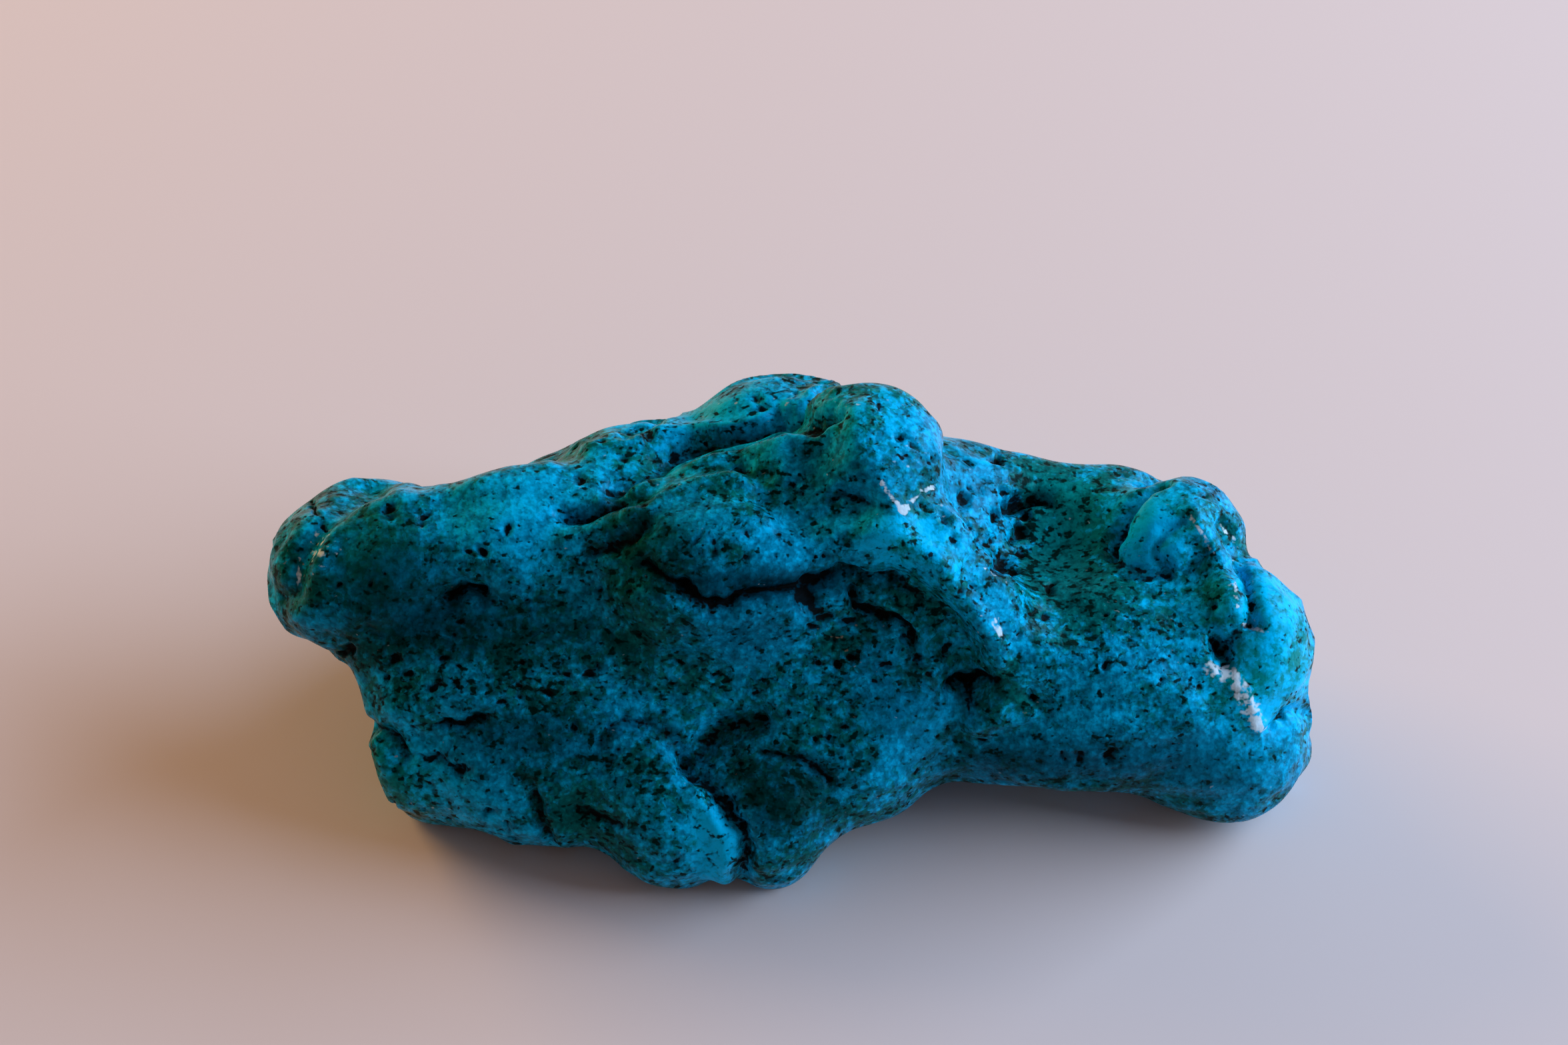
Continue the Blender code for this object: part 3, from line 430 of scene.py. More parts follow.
# Uneven growth: height, size of its features, octaves, seed. Streaks and folds are drawn out by
# shares of x, y and z, and a fold's crest is at FOLD_LEVEL
ROLLING = (0.55, 13.0, 3, 31)
STREAKS = (0.25, 3.4, 1, 41)
BACK_FOLDS = (1.1, 9.0, 2, 57)
STREAK_STRETCH = (0.6, 1.2, 1.6)
FOLD_STRETCH = (0.45, 1.0, 1.1)
FOLD_LEVEL = 0.5
OCTAVE_SHIFT = 17.3

# How far the drawn lines wander, the size of the wander and its seed. Pits and lines narrower
# than NARROW wander finely too
LINE_WANDER = (0.5, 3.2, 11)
FINE_WANDER = (0.45, 1.3, 15)
NARROW = 1.0

# A line or pit acts only this many half widths or radii away, and nothing is as far as FAR_OFF
LINE_REACH = 3
PIT_REACH = 2
FAR_OFF = 1e9

# Closeness to a pit is e to the minus squared distance to this power: flat, with a steep rim
PIT_POWER = 1.5

# Small pits strewn over the whole skin: spacing, radii, share of cells that hold one, seed. Each
# is STREWN_DEPTH deep for its radius, and squared distances in radii count up to STREWN_FAR.
# NO_PIT is the radius in a cell without one
STREWN_PITS = ((2.6, (0.25, 0.55), 0.45, 71), (1.5, (0.14, 0.3), 0.45, 83))
STREWN_DEPTH = 0.8
STREWN_FAR = 9.0
NO_PIT = 1e-3
# They crowd: the least share of their depth, a crowd's size and seed, and the noise it rises over
CROWDS = (0.35, 8.0, 91)
CROWD_RISE = (-0.2, 0.5)

# What the noise's lattice is mixed with, and how many steps a value can take
AXIS_PRIMES = (73856093, 19349663, 83492791)
SEED_PRIME = 2654435761
MIX_PRIME = 1274126177
NOISE_STEPS = 0xFFFFF

# The pattern's own depth behind the sight plane, for each millimetre of real depth
GRAIN_DEPTH = 0.8

# Rounds of averaging that smooth the directions in which the relief rises
NORMAL_SOFTENING = 40

# The finish's noises: features for each millimetre, detail, roughness. Patches are 7 mm wide,
# clouds 2 mm, mottling and blots of matrix 0.7 mm. Blots are drawn out along the grain
PATCHES = (0.14, 2.0, 0.5)
CLOUDS = (0.45, 3.0, 0.65)
MOTTLING = (1.4, 1.3, 0.5)
BLOTS = (1.4, 1.5, 0.55)
BLOT_STRETCH = (0.75, 1.0, 0.9)
# Rounded grains are 0.6 mm across, and the mottling shifts their rims by up to RIM_SHIFT mm
GRAINS = 1.7
RIM_SHIFT = 1.2

# The typical index of turquoise, how much of its reflection shows, and its bumps in metres
TURQUOISE_IOR = 1.61
SHEEN = 0.04
BUMP_STRENGTH = 0.6
BUMP_DEPTH = 0.001

# The sockets of a node that mixes two colours
MIX_SHARE, MIX_UNDER, MIX_OVER, MIX_COLOUR = 0, 6, 7, 2

# The stage, in metres. Each lamp has a width and height, and a place
WINDOW = ((1.2, 0.6), (0.95, 0.2, 0.47))
ROOM_LAMP = ((0.5, 0.5), (-0.64, 0.52, 0.28))
LAMP_AIM = (0.0, 0.0, 0.02)
FLOOR_DROP = 0.00002
PAPER_ROUGHNESS = 0.7
NEAR_CLIP = 0.01


def smooth_min(a, b, blend):
    """The smaller of two fields, with a fillet about blend wide where they meet."""
    h = np.maximum(blend - np.abs(a - b), 0.0)
    return np.minimum(a, b) - h * h / (4 * blend)


def ellipsoid(p, centre, half):
    """Distance to an ellipsoid, near enough close to its skin."""
    q = (p - np.asarray(centre, float)) / np.asarray(half, float)
    k0 = np.sqrt((q * q).sum(-1))
    q = q / np.asarray(half, float)
    return k0 * (k0 - 1) / (np.sqrt((q * q).sum(-1)) + 1e-9)


def roll(p, nodes):
    """Distance to a chain of tapered capsules through nodes of (x, y, z, radius)."""
    nodes = np.asarray(nodes, float)
    best = np.full(p.shape[:-1], FAR_OFF)
    for start, end in zip(nodes[:-1], nodes[1:]):
        run = end[:3] - start[:3]
        h = np.clip(((p - start[:3]) @ run) / (run @ run), 0, 1)
        axis = start[:3] + h[..., None] * run
        d = np.sqrt(((p - axis) ** 2).sum(-1)) - (start[3] + h * (end[3] - start[3]))
        best = smooth_min(best, d, ROLL_BLEND)
    return best


def masses(p):
    """The stone without its relief: lumps and rolls joined, then opened by the hollows."""
    f = np.full(p.shape[:-1], FAR_OFF)
    for centre, half in LUMPS.values():
        f = smooth_min(f, ellipsoid(p, centre, half), UNION_BLEND)
    for nodes in ROLLS.values():
        f = smooth_min(f, roll(p, nodes), UNION_BLEND)
    for centre, half in HOLLOWS.values():
        f = -smooth_min(-f, ellipsoid(p, centre, half), HOLLOW_BLEND)
    return f


def spine(d):
    """Where each ray leaves the spine: soon towards its ends, so rays stand nearly square on."""
    x = SPINE_REACH * d[:, 0] * (1 + SPINE_EASE * (1 - np.abs(d[:, 0])))
    return np.stack([x, np.interp(x, SPINE_X, SPINE_Y), np.interp(x, SPINE_X, SPINE_Z)], -1)


def trace(d):
    """Step inwards along each ray from outside the stone until the field says the skin is met."""
    root = spine(d)
    r = np.full(len(d), RAY_START)
    live = np.arange(len(d))
    for _ in range(RAY_STEPS):
        f = masses(root[live] + d[live] * r[live, None])
        r[live] -= RAY_STEP * f
        live = live[np.abs(f) > SKIN_TOLERANCE]
    return root + d * r[:, None]


def box_directions(counts):
    """Unit directions over a box's skin, and the quads between them.

    Each of the box's six sides is a grid of two parameters that run from -1 to 1. A direction is
    the tangent of a quarter of pi times each coordinate, made unit, so the cells stay alike in
    width. Grid points that two sides share are one vertex.
    """
    lattice, faces, base = [], [], 0
    for axis, (u, v) in enumerate(((1, 2), (2, 0), (0, 1))):
        for far in (0, 1):
            i, j = np.meshgrid(np.arange(counts[u] + 1), np.arange(counts[v] + 1), indexing="ij")
            side = [None, None, None]
            side[axis], side[u], side[v] = np.full_like(i, far * counts[axis]), i, j
            lattice.append(np.stack(side, -1).reshape(-1, 3))
            k = base + np.arange(i.size).reshape(i.shape)
            ring = [k[:-1, :-1], k[1:, :-1], k[1:, 1:], k[:-1, 1:]]
            faces.append(np.stack(ring if far else ring[::-1], -1).reshape(-1, 4))
            base += i.size
    lattice = np.concatenate(lattice)
    keys = (lattice[:, 0] * (counts[1] + 1) + lattice[:, 1]) * (counts[2] + 1) + lattice[:, 2]
    _, first, inverse = np.unique(keys, return_index=True, return_inverse=True)
    d = np.tan((lattice[first] / np.asarray(counts) * 2 - 1) * np.pi / 4)
    d /= np.linalg.norm(d, axis=1)[:, None]
    return d, inverse.reshape(-1)[np.concatenate(faces)]


def lattice_noise(ijk, seed):
    """A number from 0 to 1 for each lattice point, the same each run."""
    n = np.full(ijk.shape[:-1], seed * SEED_PRIME, np.int64)
    for axis, prime in enumerate(AXIS_PRIMES):
        n ^= ijk[..., axis].astype(np.int64) * prime
    n = (n ^ (n >> 13)) * MIX_PRIME
    n ^= n >> 16
    return (n & NOISE_STEPS) / NOISE_STEPS


def noise(p, size, seed):
    """Smooth noise from -1 to 1 with features about size across.

    The numbers at a cell's eight corners are blended by six times the fifth power of the place in
    the cell, less fifteen times the fourth, plus ten times the third.
    """
    q = p / size
    base = np.floor(q)
    f = q - base
    f = f * f * f * (f * (f * 6 - 15) + 10)
    total = 0
    for corner in np.ndindex(2, 2, 2):
        weight = np.prod(np.where(corner, f, 1 - f), axis=1)
        total = total + weight * lattice_noise(base + corner, seed)
    return total * 2 - 1


def rolling(p, size, octaves, seed):
    """Noise summed over octaves, each half the size and half the height of the one before."""
    return sum(noise(p + OCTAVE_SHIFT * k, size / 2**k, seed + k) / 2**k for k in range(octaves))


def smoothstep(x, low, high):
    """0 up to low, 1 from high on, and three squares less two cubes of the share between."""
    t = np.clip((x - low) / (high - low), 0, 1)
    return t * t * (3 - 2 * t)


def to_sight(p):
    """Where each point is seen on the sight plane, (across, up), and how far it is behind it."""
    v = p - EYE
    depth = v @ SIGHT_IN
    q = v * (EYE_FAR / depth)[:, None] + EYE - SIGHT_MIDDLE
    return q @ SIGHT_ACROSS, q @ SIGHT_UP, depth - EYE_FAR


def wandered(across, up, p, wander):
    """A place on the sight plane, moved both ways by noise."""
    far, size, seed = wander
    return across + far * noise(p, size, seed), up + far * noise(p, size, seed + 1)


def stroke_closeness(across, up, half_width, points):
    """1 on a line through points on the sight plane, else e to the minus distance squared."""
    points = np.asarray(points, float)
    reach = LINE_REACH * half_width
    (left, low), (right, high) = points.min(0) - reach, points.max(0) + reach
    near = np.flatnonzero((across > left) & (across < right) & (up > low) & (up < high))
    a, b = across[near], up[near]
    best = np.full(len(near), FAR_OFF)
    for (x, y), (u, v) in zip(points[:-1], points[1:] - points[:-1]):
        h = np.clip(((a - x) * u + (b - y) * v) / (u * u + v * v), 0, 1)
        best = np.minimum(best, (a - x - h * u) ** 2 + (b - y - h * v) ** 2)
    closeness = np.zeros(len(across))
    closeness[near] = np.exp(-best / half_width**2)
    return closeness


def drawn_pits(across, up):
    """Depth and darkness of the drawn pits, each an oval along the grain."""
    deep = np.zeros(len(across))
    dark = np.zeros(len(across))
    for x, y, radius, stretch in PITS:
        radius = PIT_SIZE * radius
        reach = PIT_REACH * radius * stretch
        near = np.flatnonzero((np.abs(across - x) < reach) & (np.abs(up - y) < reach))
        a, b = across[near] - x, up[near] - y
        along = (a * np.cos(PIT_TILT) + b * np.sin(PIT_TILT)) / (radius * stretch)
        over = (b * np.cos(PIT_TILT) - a * np.sin(PIT_TILT)) / radius
        closeness = np.exp(-((along**2 + over**2) ** PIT_POWER))
        deep[near] += PIT_DEPTH * radius * closeness
        dark[near] = np.maximum(dark[near], closeness)
    return deep, dark


def strewn_pits(p):
    """Depth and darkness of small round pits, at most one about a point in each lattice cell."""
    deep = np.zeros(len(p))
    dark = np.zeros(len(p))
    for spacing, (small, large), share, seed in STREWN_PITS:
        base = np.floor(p / spacing)
        for step in np.ndindex(3, 3, 3):
            cell = base + step - 1
            centre = np.stack([lattice_noise(cell, seed + k) for k in range(3)], -1)
            radius = small + (large - small) * lattice_noise(cell, seed + 3)
            radius = np.where(lattice_noise(cell, seed + 4) < share, radius, NO_PIT)
            far = ((p - (cell + centre) * spacing) ** 2).sum(-1) / radius**2
            closeness = np.exp(-np.minimum(far, STREWN_FAR) ** PIT_POWER)
            deep += STREWN_DEPTH * radius * closeness
            dark = np.maximum(dark, closeness)
    return deep, dark


def soft_ovals(across, up, places, total=0.0):
    """total, plus a soft oval on the sight plane for each place, of the place's own amount."""
    for x, y, half_x, half_y, amount in places.values():
        total = total + amount * np.exp(-((across - x) / half_x) ** 2 - ((up - y) / half_y) ** 2)
    return total


def skin_relief(p, normal):
    """Height above the masses, how dark the pits and grooves are painted (dark matrix, and in the
    grooves also painted shade), and how much the front is drawn.

    The strokes, swells and pits are drawn in front. Behind, folds run along the stone. Growth and
    strewn pits go all over.
    """
    across, up, depth = to_sight(p)
    across, up = wandered(across, up, p, LINE_WANDER)
    ragged = wandered(across, up, p, FINE_WANDER)
    to_eye = EYE - p
    facing = (normal * to_eye).sum(-1) / np.linalg.norm(to_eye, axis=1)
    front = smoothstep(facing, *FACING_FADE) * (1 - smoothstep(depth, *DEPTH_FADE))
    drawn = np.zeros(len(p))
    dark = np.zeros(len(p))
    for name, (rise, half_width, points) in STROKES.items():
        place = ragged if half_width < NARROW else (across, up)
        closeness = stroke_closeness(*place, half_width, points)
        drawn += rise * closeness
        # Dark grooves: dark matrix, and painted shade on the groove's floor
        if name in MATRIX_AND_SHADE_STROKES:
            dark = np.maximum(dark, MATRIX_AND_SHADE_STROKES[name] * closeness**2)
    drawn = soft_ovals(across, up, SWELLS, drawn)
    deep, pit_dark = drawn_pits(*ragged)
    drawn -= deep
    dark = np.maximum(dark, pit_dark)
    height, size, octaves, seed = BACK_FOLDS
    folds = height * (FOLD_LEVEL - 2 * np.abs(rolling(p * FOLD_STRETCH, size, octaves, seed)))
    h = front * drawn + (1 - front) * folds
    for stretch, (height, size, octaves, seed) in ((1.0, ROLLING), (STREAK_STRETCH, STREAKS)):
        h += height * rolling(p * stretch, size, octaves, seed)
    deep, strewn_dark = strewn_pits(p)
    least, size, seed = CROWDS
    crowd = least + (1 - least) * smoothstep(noise(p, size, seed), *CROWD_RISE)
    return h - deep * crowd, np.maximum(front * dark, strewn_dark * crowd), front


def gathered(faces, quads, size):
    """For each vertex, the sum of a vector that each face around it has."""
    out = np.zeros((size, 3))
    for corner in range(4):
        for axis in range(3):
            out[:, axis] += np.bincount(quads[:, corner], faces[:, axis], size)
    return out


def vertex_normals(p, quads):
    """The cross products of face diagonals, summed around each vertex and made unit."""
    across = p[quads[:, 2]] - p[quads[:, 0]]
    out = gathered(np.cross(across, p[quads[:, 3]] - p[quads[:, 1]]), quads, len(p))
    return out / np.linalg.norm(out, axis=1)[:, None]


def softened(field, quads, passes):
    """A vector field averaged over the faces around each vertex, passes times, and made unit."""
    count = np.bincount(quads.ravel(), minlength=len(field))[:, None]
    for _ in range(passes):
        field = gathered(field[quads].mean(1), quads, len(field)) / count
    return field / np.linalg.norm(field, axis=1)[:, None]


def to_world(p):
    """Study millimetres to the frame's metres."""
    return (np.asarray(p) - STUDY_ORIGIN) * STUDY_SCALE


def nugget_skin(counts):
    """The stone's skin over a box's six parameter grids, and what its finish reads there.

    A point is its ray's meeting with the masses, moved along the softened normal by the relief's
    height, and never below the surface that the stone rests on.
    """
    d, quads = box_directions(counts)
    p = trace(d)
    normal = vertex_normals(p, quads)
    height, dark, front = skin_relief(p, normal)
    p = p + softened(normal, quads, NORMAL_SOFTENING) * height[:, None]
    across, up, depth = to_sight(p)
    # The zones' second amount paints light and shade into the colour: it becomes the light mark
    hues, lights = ({name: (*zone[:4], zone[column]) for name, zone in TONE_AND_PAINTED_LIGHT_ZONES.items()}
                    for column in (4, 5))
    marks = {name: front * soft_ovals(across, up, places)
             for name, places in (("hue", hues), ("light", lights), ("speck", SPECKLED),
                                  ("pale", PALE_GRAINS), ("rust", RUSTY))}
    marks["dark"] = dark
    marks["crust"] = front * sum(strength * stroke_closeness(across, up, half_width, points)
                                 for strength, half_width, points in CRUST)
    grain = np.stack([across, up, GRAIN_DEPTH * depth], -1)
    p = to_world(p)
    p[:, 2] = np.maximum(p[:, 2], 0.0)
    return p, quads, marks, grain


def linear(hex_colour):
    """An sRGB hex colour as linear red, green, blue and alpha."""
    srgb = np.array([int(hex_colour[i:i + 2], 16) for i in (1, 3, 5)]) / 255
    lin = np.where(srgb <= 0.04045, srgb / 12.92, ((srgb + 0.055) / 1.055) ** 2.4)
    return (*lin, 1.0)


def add_node(tree, kind, inputs=None, **settings):
    """Add a node, set its properties, and link or set its inputs. Returns the node."""
    node = tree.nodes.new(kind)
    for name, value in settings.items():
        setattr(node, name, value)
    for name, value in (inputs or {}).items():
        if isinstance(value, bpy.types.NodeSocket):
            tree.links.new(value, node.inputs[name])
        else:
            node.inputs[name].default_value = value
    return node


class NuggetProperties(bpy.types.PropertyGroup):
    """Sizes and colours of the nugget."""
    cells_along: IntProperty(
        name="Cells along", default=300, min=24,
        description="Grid cells along the stone before thinning")
    cells_around: IntProperty(
        name="Cells around", default=180, min=16,
        description="Grid cells on each side around the stone")
    triangles: IntProperty(
        name="Triangles", default=190000, min=1000,
        description="Triangles that the skin is thinned to")
    blue: StringProperty(
        name="Blue", default="#009cca", description="The clear blue of the stone, as sRGB hex")
    teal: StringProperty(
        name="Teal", default="#006a6a", description="The greenish turquoise, as sRGB hex")
    matrix: StringProperty(
        name="Matrix", default="#001c16", description="The dark matrix specks, as sRGB hex")
    # The pits' near-black also paints the shade deep in the dark grooves
    pit: StringProperty(
        name="Pit", default="#0d0a06", description="What lies in the pits, as sRGB hex")
    crust: StringProperty(
        # The crust's pale also paints the sheen at the arm's end
        name="Crust", default="#c0dce6", description="The pale crust, as sRGB hex")
    rust: StringProperty(
        name="Rust", default="#9c8a74", description="The pinkish rusty grains, as sRGB hex")
    sheen_tint: StringProperty(
        name="Reflection", default="#00a0c8", description="The head-on reflection, as sRGB hex")


class StageProperties(bpy.types.PropertyGroup):
    """Floor, lights and camera of the stage."""
    floor_colour: StringProperty(
        name="Floor", default="#dcdad8", description="The pale floor, as sRGB hex")
    floor_size: FloatProperty(
        name="Floor size", default=3.0, unit="LENGTH", description="Width of the square floor")
    window_power: FloatProperty(
        name="Window power", default=20.9, unit="POWER",
        description="Power of the soft light from the right")
    window_colour: StringProperty(
        name="Window colour", default="#d2e2ff",
        description="The light from the right, as sRGB hex")
    room_power: FloatProperty(
        name="Room power", default=6.6, unit="POWER",
        description="Power of the warm light from behind left")
    room_colour: StringProperty(
        name="Room colour", default="#ffbc70", description="The warm light, as sRGB hex")
    surround_power: FloatProperty(
        name="Surround", default=0.2, min=0.0, description="Strength of the light from all round")
    surround_colour: StringProperty(
        name="Surround colour", default="#ffd6d0",
        description="The light from all round, as sRGB hex")
    lens: FloatProperty(
        name="Lens", default=85.0, unit="CAMERA", description="Focal length of the camera")


def waxed_raw_turquoise(props):
    """Turquoise, tumbled and waxed: clear blue and teal patches, dark matrix specks, a soft gloss.

    Raw turquoise is close-grained phosphate with index 1.61. Tumbling rounds it and the wax fills
    its pores, so it has a soft highlight, duller where the matrix or the crust comes up. Noise
    along the grain breaks its colours up, and the marks on the skin say where each one crowds.
    The light mark paints light and shade into the colour, and the dark mark paints shade in the
    grooves.
    """
    material = bpy.data.materials.new("waxed_raw_turquoise")
    material.use_nodes = True
    tree = material.node_tree
    shader = tree.nodes["Principled BSDF"]
    marks = {name: add_node(tree, "ShaderNodeAttribute", attribute_name=name).outputs["Fac"]
             for name in ("hue", "light", "speck", "pale", "rust", "dark", "crust")}
    grain = add_node(tree, "ShaderNodeAttribute", attribute_name="grain").outputs["Vector"]
    drawn_out = add_node(tree, "ShaderNodeMapping", {"Vector": grain, "Scale": BLOT_STRETCH})
    patch, cloud, mottle, blot = (
        add_node(tree, "ShaderNodeTexNoise", {
            "Vector": place, "Scale": scale, "Detail": detail, "Roughness": roughness}).outputs
        for place, (scale, detail, roughness) in (
            (grain, PATCHES), (grain, CLOUDS), (grain, MOTTLING), (drawn_out.outputs[0], BLOTS)))

    # Rounded grains with ragged rims, light in the middle and dark between
    shift = add_node(tree, "ShaderNodeVectorMath", {0: mottle["Color"], "Scale": RIM_SHIFT},
                     operation="SCALE")
    shifted = add_node(tree, "ShaderNodeVectorMath", {0: grain, 1: shift.outputs[0]},
                       operation="ADD")
    cells = add_node(tree, "ShaderNodeTexVoronoi", {
        "Vector": shifted.outputs[0], "Scale": GRAINS}).outputs
    draws, flecks, crumbs = (add_node(tree, "ShaderNodeSeparateColor", {0: source}).outputs
                             for source in (cells["Color"], mottle["Color"], blot["Color"]))

    # The pattern is calmer where the light mark paints shade and where it holds little matrix
    calm = 1.0
    for mark, low, least in ((marks["light"], -1.6, 0.75), (marks["speck"], -1.2, 0.6)):
        share = add_node(tree, "ShaderNodeMapRange", {
            "Value": mark, "From Min": low, "From Max": 0.0, "To Min": least})
        calm = add_node(tree, "ShaderNodeMath", {0: share.outputs[0], 1: calm},
                        operation="MULTIPLY").outputs[0]

    # How blue each place is, and how light in doublings: the noises by their weights, calmed, with
    # the zone's mark, whose lighter and darker amounts are painted light and shade. The stone is
    # darker round its pits and dark grooves, from matrix and, in the grooves, painted shade, and
    # its clear places are one even blue
    totals = []
    for total, terms in (
            (-4.8, ((patch["Fac"], 3.4), (cloud["Fac"], 3.4), (draws[1], 0.8), (flecks[1], 2.2))),
            (-3.3, ((mottle["Fac"], 3.2), (cloud["Fac"], 3.2), (draws[0], 0.7),
                    (cells["Distance"], -0.9)))):
        for source, weight in terms:
            total = add_node(tree, "ShaderNodeMath", {0: source, 1: weight, 2: total},
                             operation="MULTIPLY_ADD").outputs[0]
        totals.append(total)
    blueness, lightness = totals
    zone = add_node(tree, "ShaderNodeMath", {0: marks["hue"], 1: 0.6}, operation="MULTIPLY")
    hue = add_node(tree, "ShaderNodeMath", {0: blueness, 1: calm, 2: zone.outputs[0]},
                   operation="MULTIPLY_ADD")
    hue = add_node(tree, "ShaderNodeMapRange", {
        "Value": hue.outputs[0], "From Min": -0.65, "From Max": 0.75},
        interpolation_type="SMOOTHSTEP").outputs[0]
    light = add_node(tree, "ShaderNodeMath", {0: lightness, 1: calm, 2: marks["light"]},
                     operation="MULTIPLY_ADD")
    light = add_node(tree, "ShaderNodeMath", {0: marks["dark"], 1: -1.4, 2: light.outputs[0]},
                     operation="MULTIPLY_ADD")
    light = add_node(tree, "ShaderNodeMath", {0: light.outputs[0], 1: 0.7, 2: 1.0},
                     operation="SMOOTH_MIN")
    light = add_node(tree, "ShaderNodeMath", {0: 2.0, 1: light.outputs[0]}, operation="POWER")

    # Five layers, each coming up where its sum passes from one level to another: soft-edged matrix
    # specks, most where the stone is green, rusty and pale crumbs, ragged and rare, with the
    # painted sheen at the arm's end among the pale ones, lines of crust broken up by flecks, and
    # the near-black in the pits and dark grooves, which is matrix and, in the grooves, painted
    # shade, with its ragged edge
    layers = []
    for terms, low, high, most, rise in (
            (((blot["Fac"], 1.0), (marks["speck"], 0.05), (hue, -0.05), (cloud["Fac"], -0.55)),
             0.27, 0.42, 0.97, "SMOOTHSTEP"),
            (((crumbs[2], 1.0), (marks["rust"], 0.07)), 0.77, 0.9, 0.75, "LINEAR"),
            (((crumbs[1], 1.0), (marks["pale"], 0.09)), 0.76, 0.9, 0.8, "LINEAR"),
            (((flecks[2], marks["crust"]),), 0.34, 0.48, 0.9, "LINEAR"),
            (((mottle["Fac"], 1.6), (blot["Fac"], 2.0), (marks["dark"], 1.35)),
             2.35, 2.9, 0.95, "SMOOTHSTEP")):
        total = 0.0
        for source, weight in terms:
            total = add_node(tree, "ShaderNodeMath", {0: source, 1: weight, 2: total},
                             operation="MULTIPLY_ADD").outputs[0]
        layers.append(add_node(tree, "ShaderNodeMapRange", {
            "Value": total, "From Min": low, "From Max": high, "To Max": most},
            interpolation_type=rise).outputs[0])
    specks, rust, crumb, vein, pit_matrix_and_groove_shade = layers
    pale = add_node(tree, "ShaderNodeMath", {0: crumb, 1: vein}, operation="MAXIMUM").outputs[0]

    # The stone's own colour, made lighter or darker, then the layers over it
    colour = add_node(tree, "ShaderNodeMix", {
        MIX_SHARE: hue, MIX_UNDER: linear(props.teal), MIX_OVER: linear(props.blue)},
        data_type="RGBA")
    colour = add_node(tree, "ShaderNodeVectorMath", {
        0: colour.outputs[MIX_COLOUR], "Scale": light.outputs[0]}, operation="SCALE").outputs[0]
    for share, over in ((specks, props.matrix), (rust, props.rust), (pale, props.crust),
                        (pit_matrix_and_groove_shade, props.pit)):
        colour = add_node(tree, "ShaderNodeMix", {
            MIX_SHARE: share, MIX_UNDER: colour, MIX_OVER: linear(over)},
            data_type="RGBA").outputs[MIX_COLOUR]

    # The wax is about a third rough, duller on matrix, crust and in the pits. Its bumps are low:
    # the grains stand up a little, and the specks lie a little deep
    totals = []
    for total, terms in (
            (0.2, ((mottle["Fac"], 0.2), (specks, 0.15), (pit_matrix_and_groove_shade, 0.35), (pale, 0.2))),
            (0.0, ((cloud["Fac"], 0.22), (mottle["Fac"], 0.14), (specks, -0.05)))):
        for source, weight in terms:
            total = add_node(tree, "ShaderNodeMath", {0: source, 1: weight, 2: total},
                             operation="MULTIPLY_ADD").outputs[0]
        totals.append(total)
    roughness, height = totals
    bump = add_node(tree, "ShaderNodeBump", {
        "Strength": BUMP_STRENGTH, "Distance": BUMP_DEPTH, "Height": height})
    for socket, source in (("Base Color", colour), ("Roughness", roughness),
                           ("Normal", bump.outputs[0])):
        tree.links.new(source, shader.inputs[socket])
    # Thin wax over fine pores reflects little, so the specular level is low
    for socket, value in (("IOR", TURQUOISE_IOR), ("Specular IOR Level", SHEEN),
                          ("Specular Tint", linear(props.sheen_tint))):
        shader.inputs[socket].default_value = value
    return material


class NUGGET_OT_stone(bpy.types.Operator):
    """Build the nugget's fine skin and its waxed turquoise finish"""
    bl_idname = "nugget.stone"
    bl_label = "Turquoise nugget"

    def execute(self, context):
        props = context.scene.nugget
        counts = (props.cells_along, props.cells_around, props.cells_around)
        p, quads, marks, grain = nugget_skin(counts)
        grid = bpy.data.meshes.new("nugget_grid")
        grid.from_pydata(p, [], quads.tolist())
        for name, values in marks.items():
            grid.attributes.new(name, "FLOAT", "POINT").data.foreach_set("value", values)
        along_grain = grid.attributes.new("grain", "FLOAT_VECTOR", "POINT")
        along_grain.data.foreach_set("vector", grain.ravel())
        stone = bpy.data.objects.new("turquoise_stone", grid)
        context.scene.collection.objects.link(stone)
        thin = stone.modifiers.new("thin", "DECIMATE")
        thin.ratio = props.triangles / (2 * len(quads))
        evaluated = stone.evaluated_get(context.evaluated_depsgraph_get())
        skin = bpy.data.meshes.new_from_object(evaluated)
        stone.modifiers.clear()
        stone.data = skin
        bpy.data.meshes.remove(grid)
        skin.name = "turquoise_stone"
        skin.shade_smooth()
        skin.materials.clear()
        skin.materials.append(waxed_raw_turquoise(props))
        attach(stone, "root")
        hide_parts(NODE)
        return {"FINISHED"}


def soft_light(name, hex_colour, power, size, place):
    """An area light of a width and height, at place, turned from straight down to face the aim."""
    light = bpy.data.lights.new(name, "AREA")
    light.color = linear(hex_colour)[:3]
    light.energy = power
    light.shape = "RECTANGLE"
    light.size, light.size_y = size
    lamp = bpy.data.objects.new(name, light)
    lamp.location = place
    x, y, z = np.asarray(LAMP_AIM) - np.asarray(place)
    lamp.rotation_euler = (np.arctan2(np.hypot(x, y), -z), 0.0, np.arctan2(-x, y))
    bpy.context.scene.collection.objects.link(lamp)
    return lamp


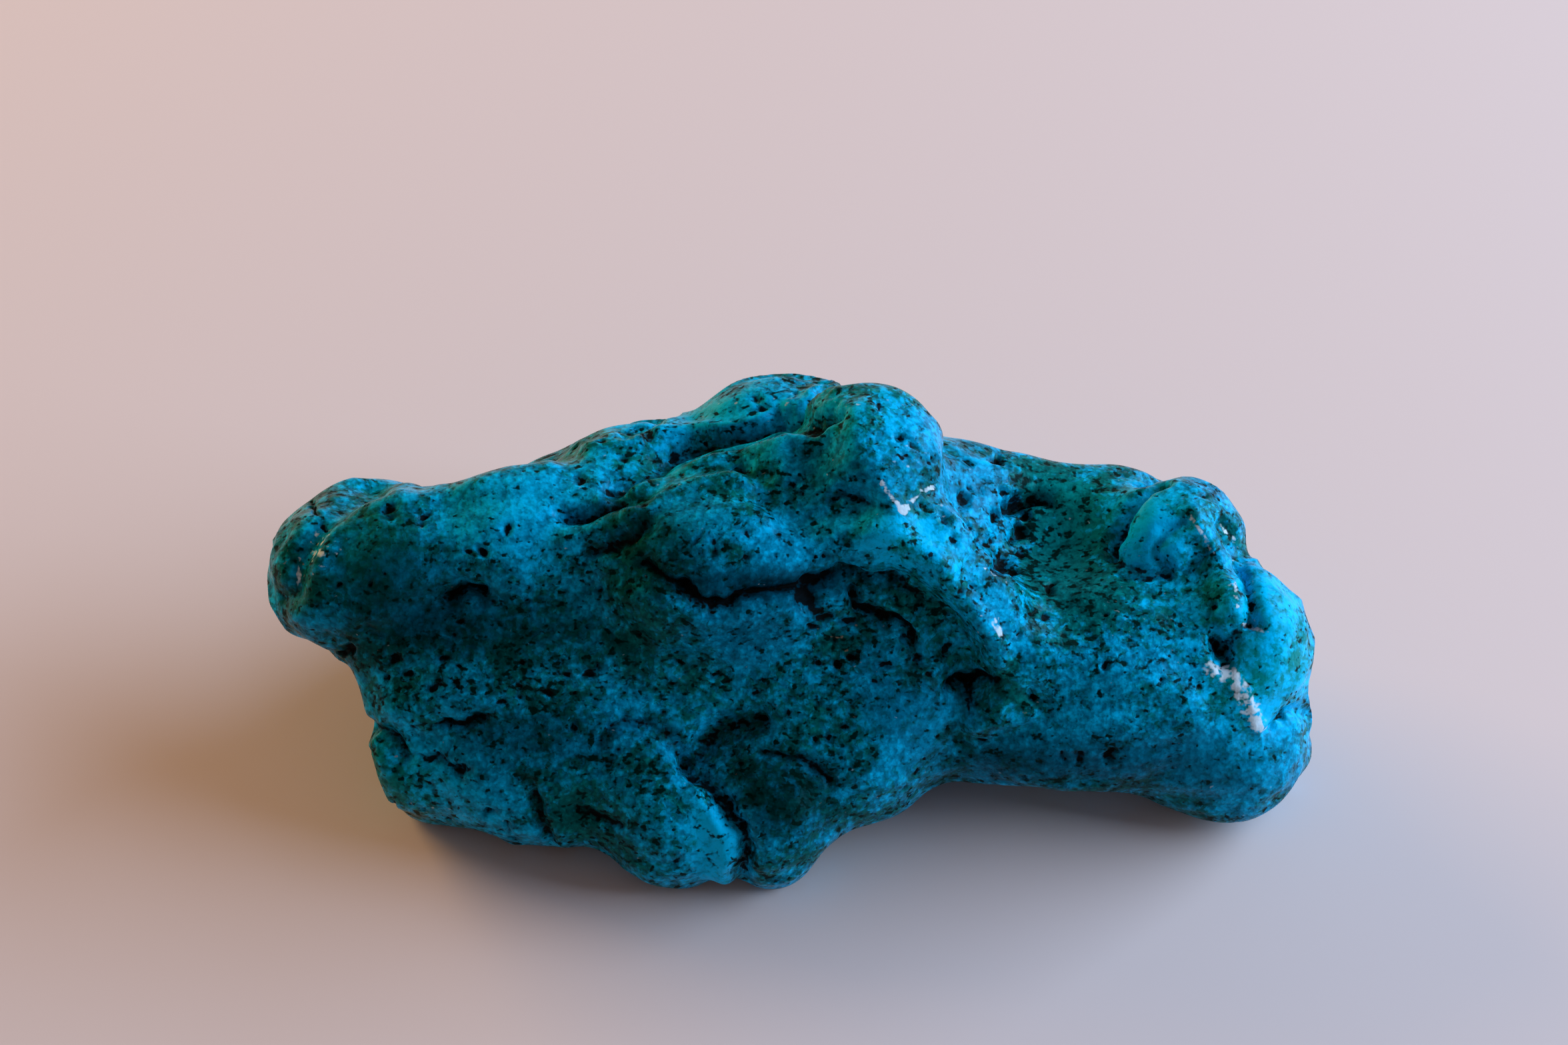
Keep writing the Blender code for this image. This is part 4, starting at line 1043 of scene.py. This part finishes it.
class NUGGET_OT_stage(bpy.types.Operator):
    """Set the pale floor, the soft lights and the camera"""
    bl_idname = "nugget.stage"
    bl_label = "Stage"

    def execute(self, context):
        props = context.scene.nugget_stage
        half = props.floor_size / 2
        floor_mesh = bpy.data.meshes.new("floor")
        floor_mesh.from_pydata([(x * half, y * half, -FLOOR_DROP)
                                for x, y in ((-1, -1), (1, -1), (1, 1), (-1, 1))],
                               [], [(0, 1, 2, 3)])
        floor = bpy.data.objects.new("floor", floor_mesh)
        context.scene.collection.objects.link(floor)
        paper = bpy.data.materials.new("matt_paper")
        paper.use_nodes = True
        shader = paper.node_tree.nodes["Principled BSDF"]
        shader.inputs["Base Color"].default_value = linear(props.floor_colour)
        shader.inputs["Roughness"].default_value = PAPER_ROUGHNESS
        floor_mesh.materials.append(paper)

        soft_light("window", props.window_colour, props.window_power, *WINDOW)
        room = soft_light("room", props.room_colour, props.room_power, *ROOM_LAMP)
        # The lamp warms the floor, and its own image isn't seen in the wax
        room.visible_glossy = False
        world = bpy.data.worlds.new("surround")
        world.use_nodes = True
        surround = world.node_tree.nodes["Background"]
        surround.inputs["Color"].default_value = linear(props.surround_colour)
        surround.inputs["Strength"].default_value = props.surround_power
        context.scene.world = world

        lens = bpy.data.cameras.new("camera")
        lens.lens = props.lens
        lens.clip_start = NEAR_CLIP
        camera = bpy.data.objects.new("camera", lens)
        camera.location = to_world(EYE)
        camera.rotation_euler = (EYE_TILT, 0.0, 0.0)
        context.scene.collection.objects.link(camera)
        context.scene.camera = camera
        context.scene.view_settings.view_transform = "Standard"
        return {"FINISHED"}


class NUGGET_PT_panel(bpy.types.Panel):
    """The nugget's pieces, sizes and colours"""
    bl_idname = "NUGGET_PT_panel"
    bl_label = "Raw turquoise nugget"
    bl_space_type = "VIEW_3D"
    bl_region_type = "UI"
    bl_category = "Nugget"

    def draw(self, context):
        for operator, group in ((NUGGET_OT_stone, context.scene.nugget),
                                (NUGGET_OT_stage, context.scene.nugget_stage)):
            self.layout.operator(operator.bl_idname)
            for name in group.__annotations__:
                self.layout.prop(group, name)


CLASSES = (NuggetProperties, StageProperties, NUGGET_OT_stone, NUGGET_OT_stage, NUGGET_PT_panel)


def register():
    for cls in CLASSES:
        bpy.utils.register_class(cls)
    bpy.types.Scene.nugget = PointerProperty(type=NuggetProperties)
    bpy.types.Scene.nugget_stage = PointerProperty(type=StageProperties)


def unregister():
    del bpy.types.Scene.nugget_stage
    del bpy.types.Scene.nugget
    for cls in reversed(CLASSES):
        bpy.utils.unregister_class(cls)


def main():
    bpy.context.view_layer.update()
    register()
    bpy.ops.nugget.stone()
    bpy.ops.nugget.stage()


if __name__ == "__main__":
    main()
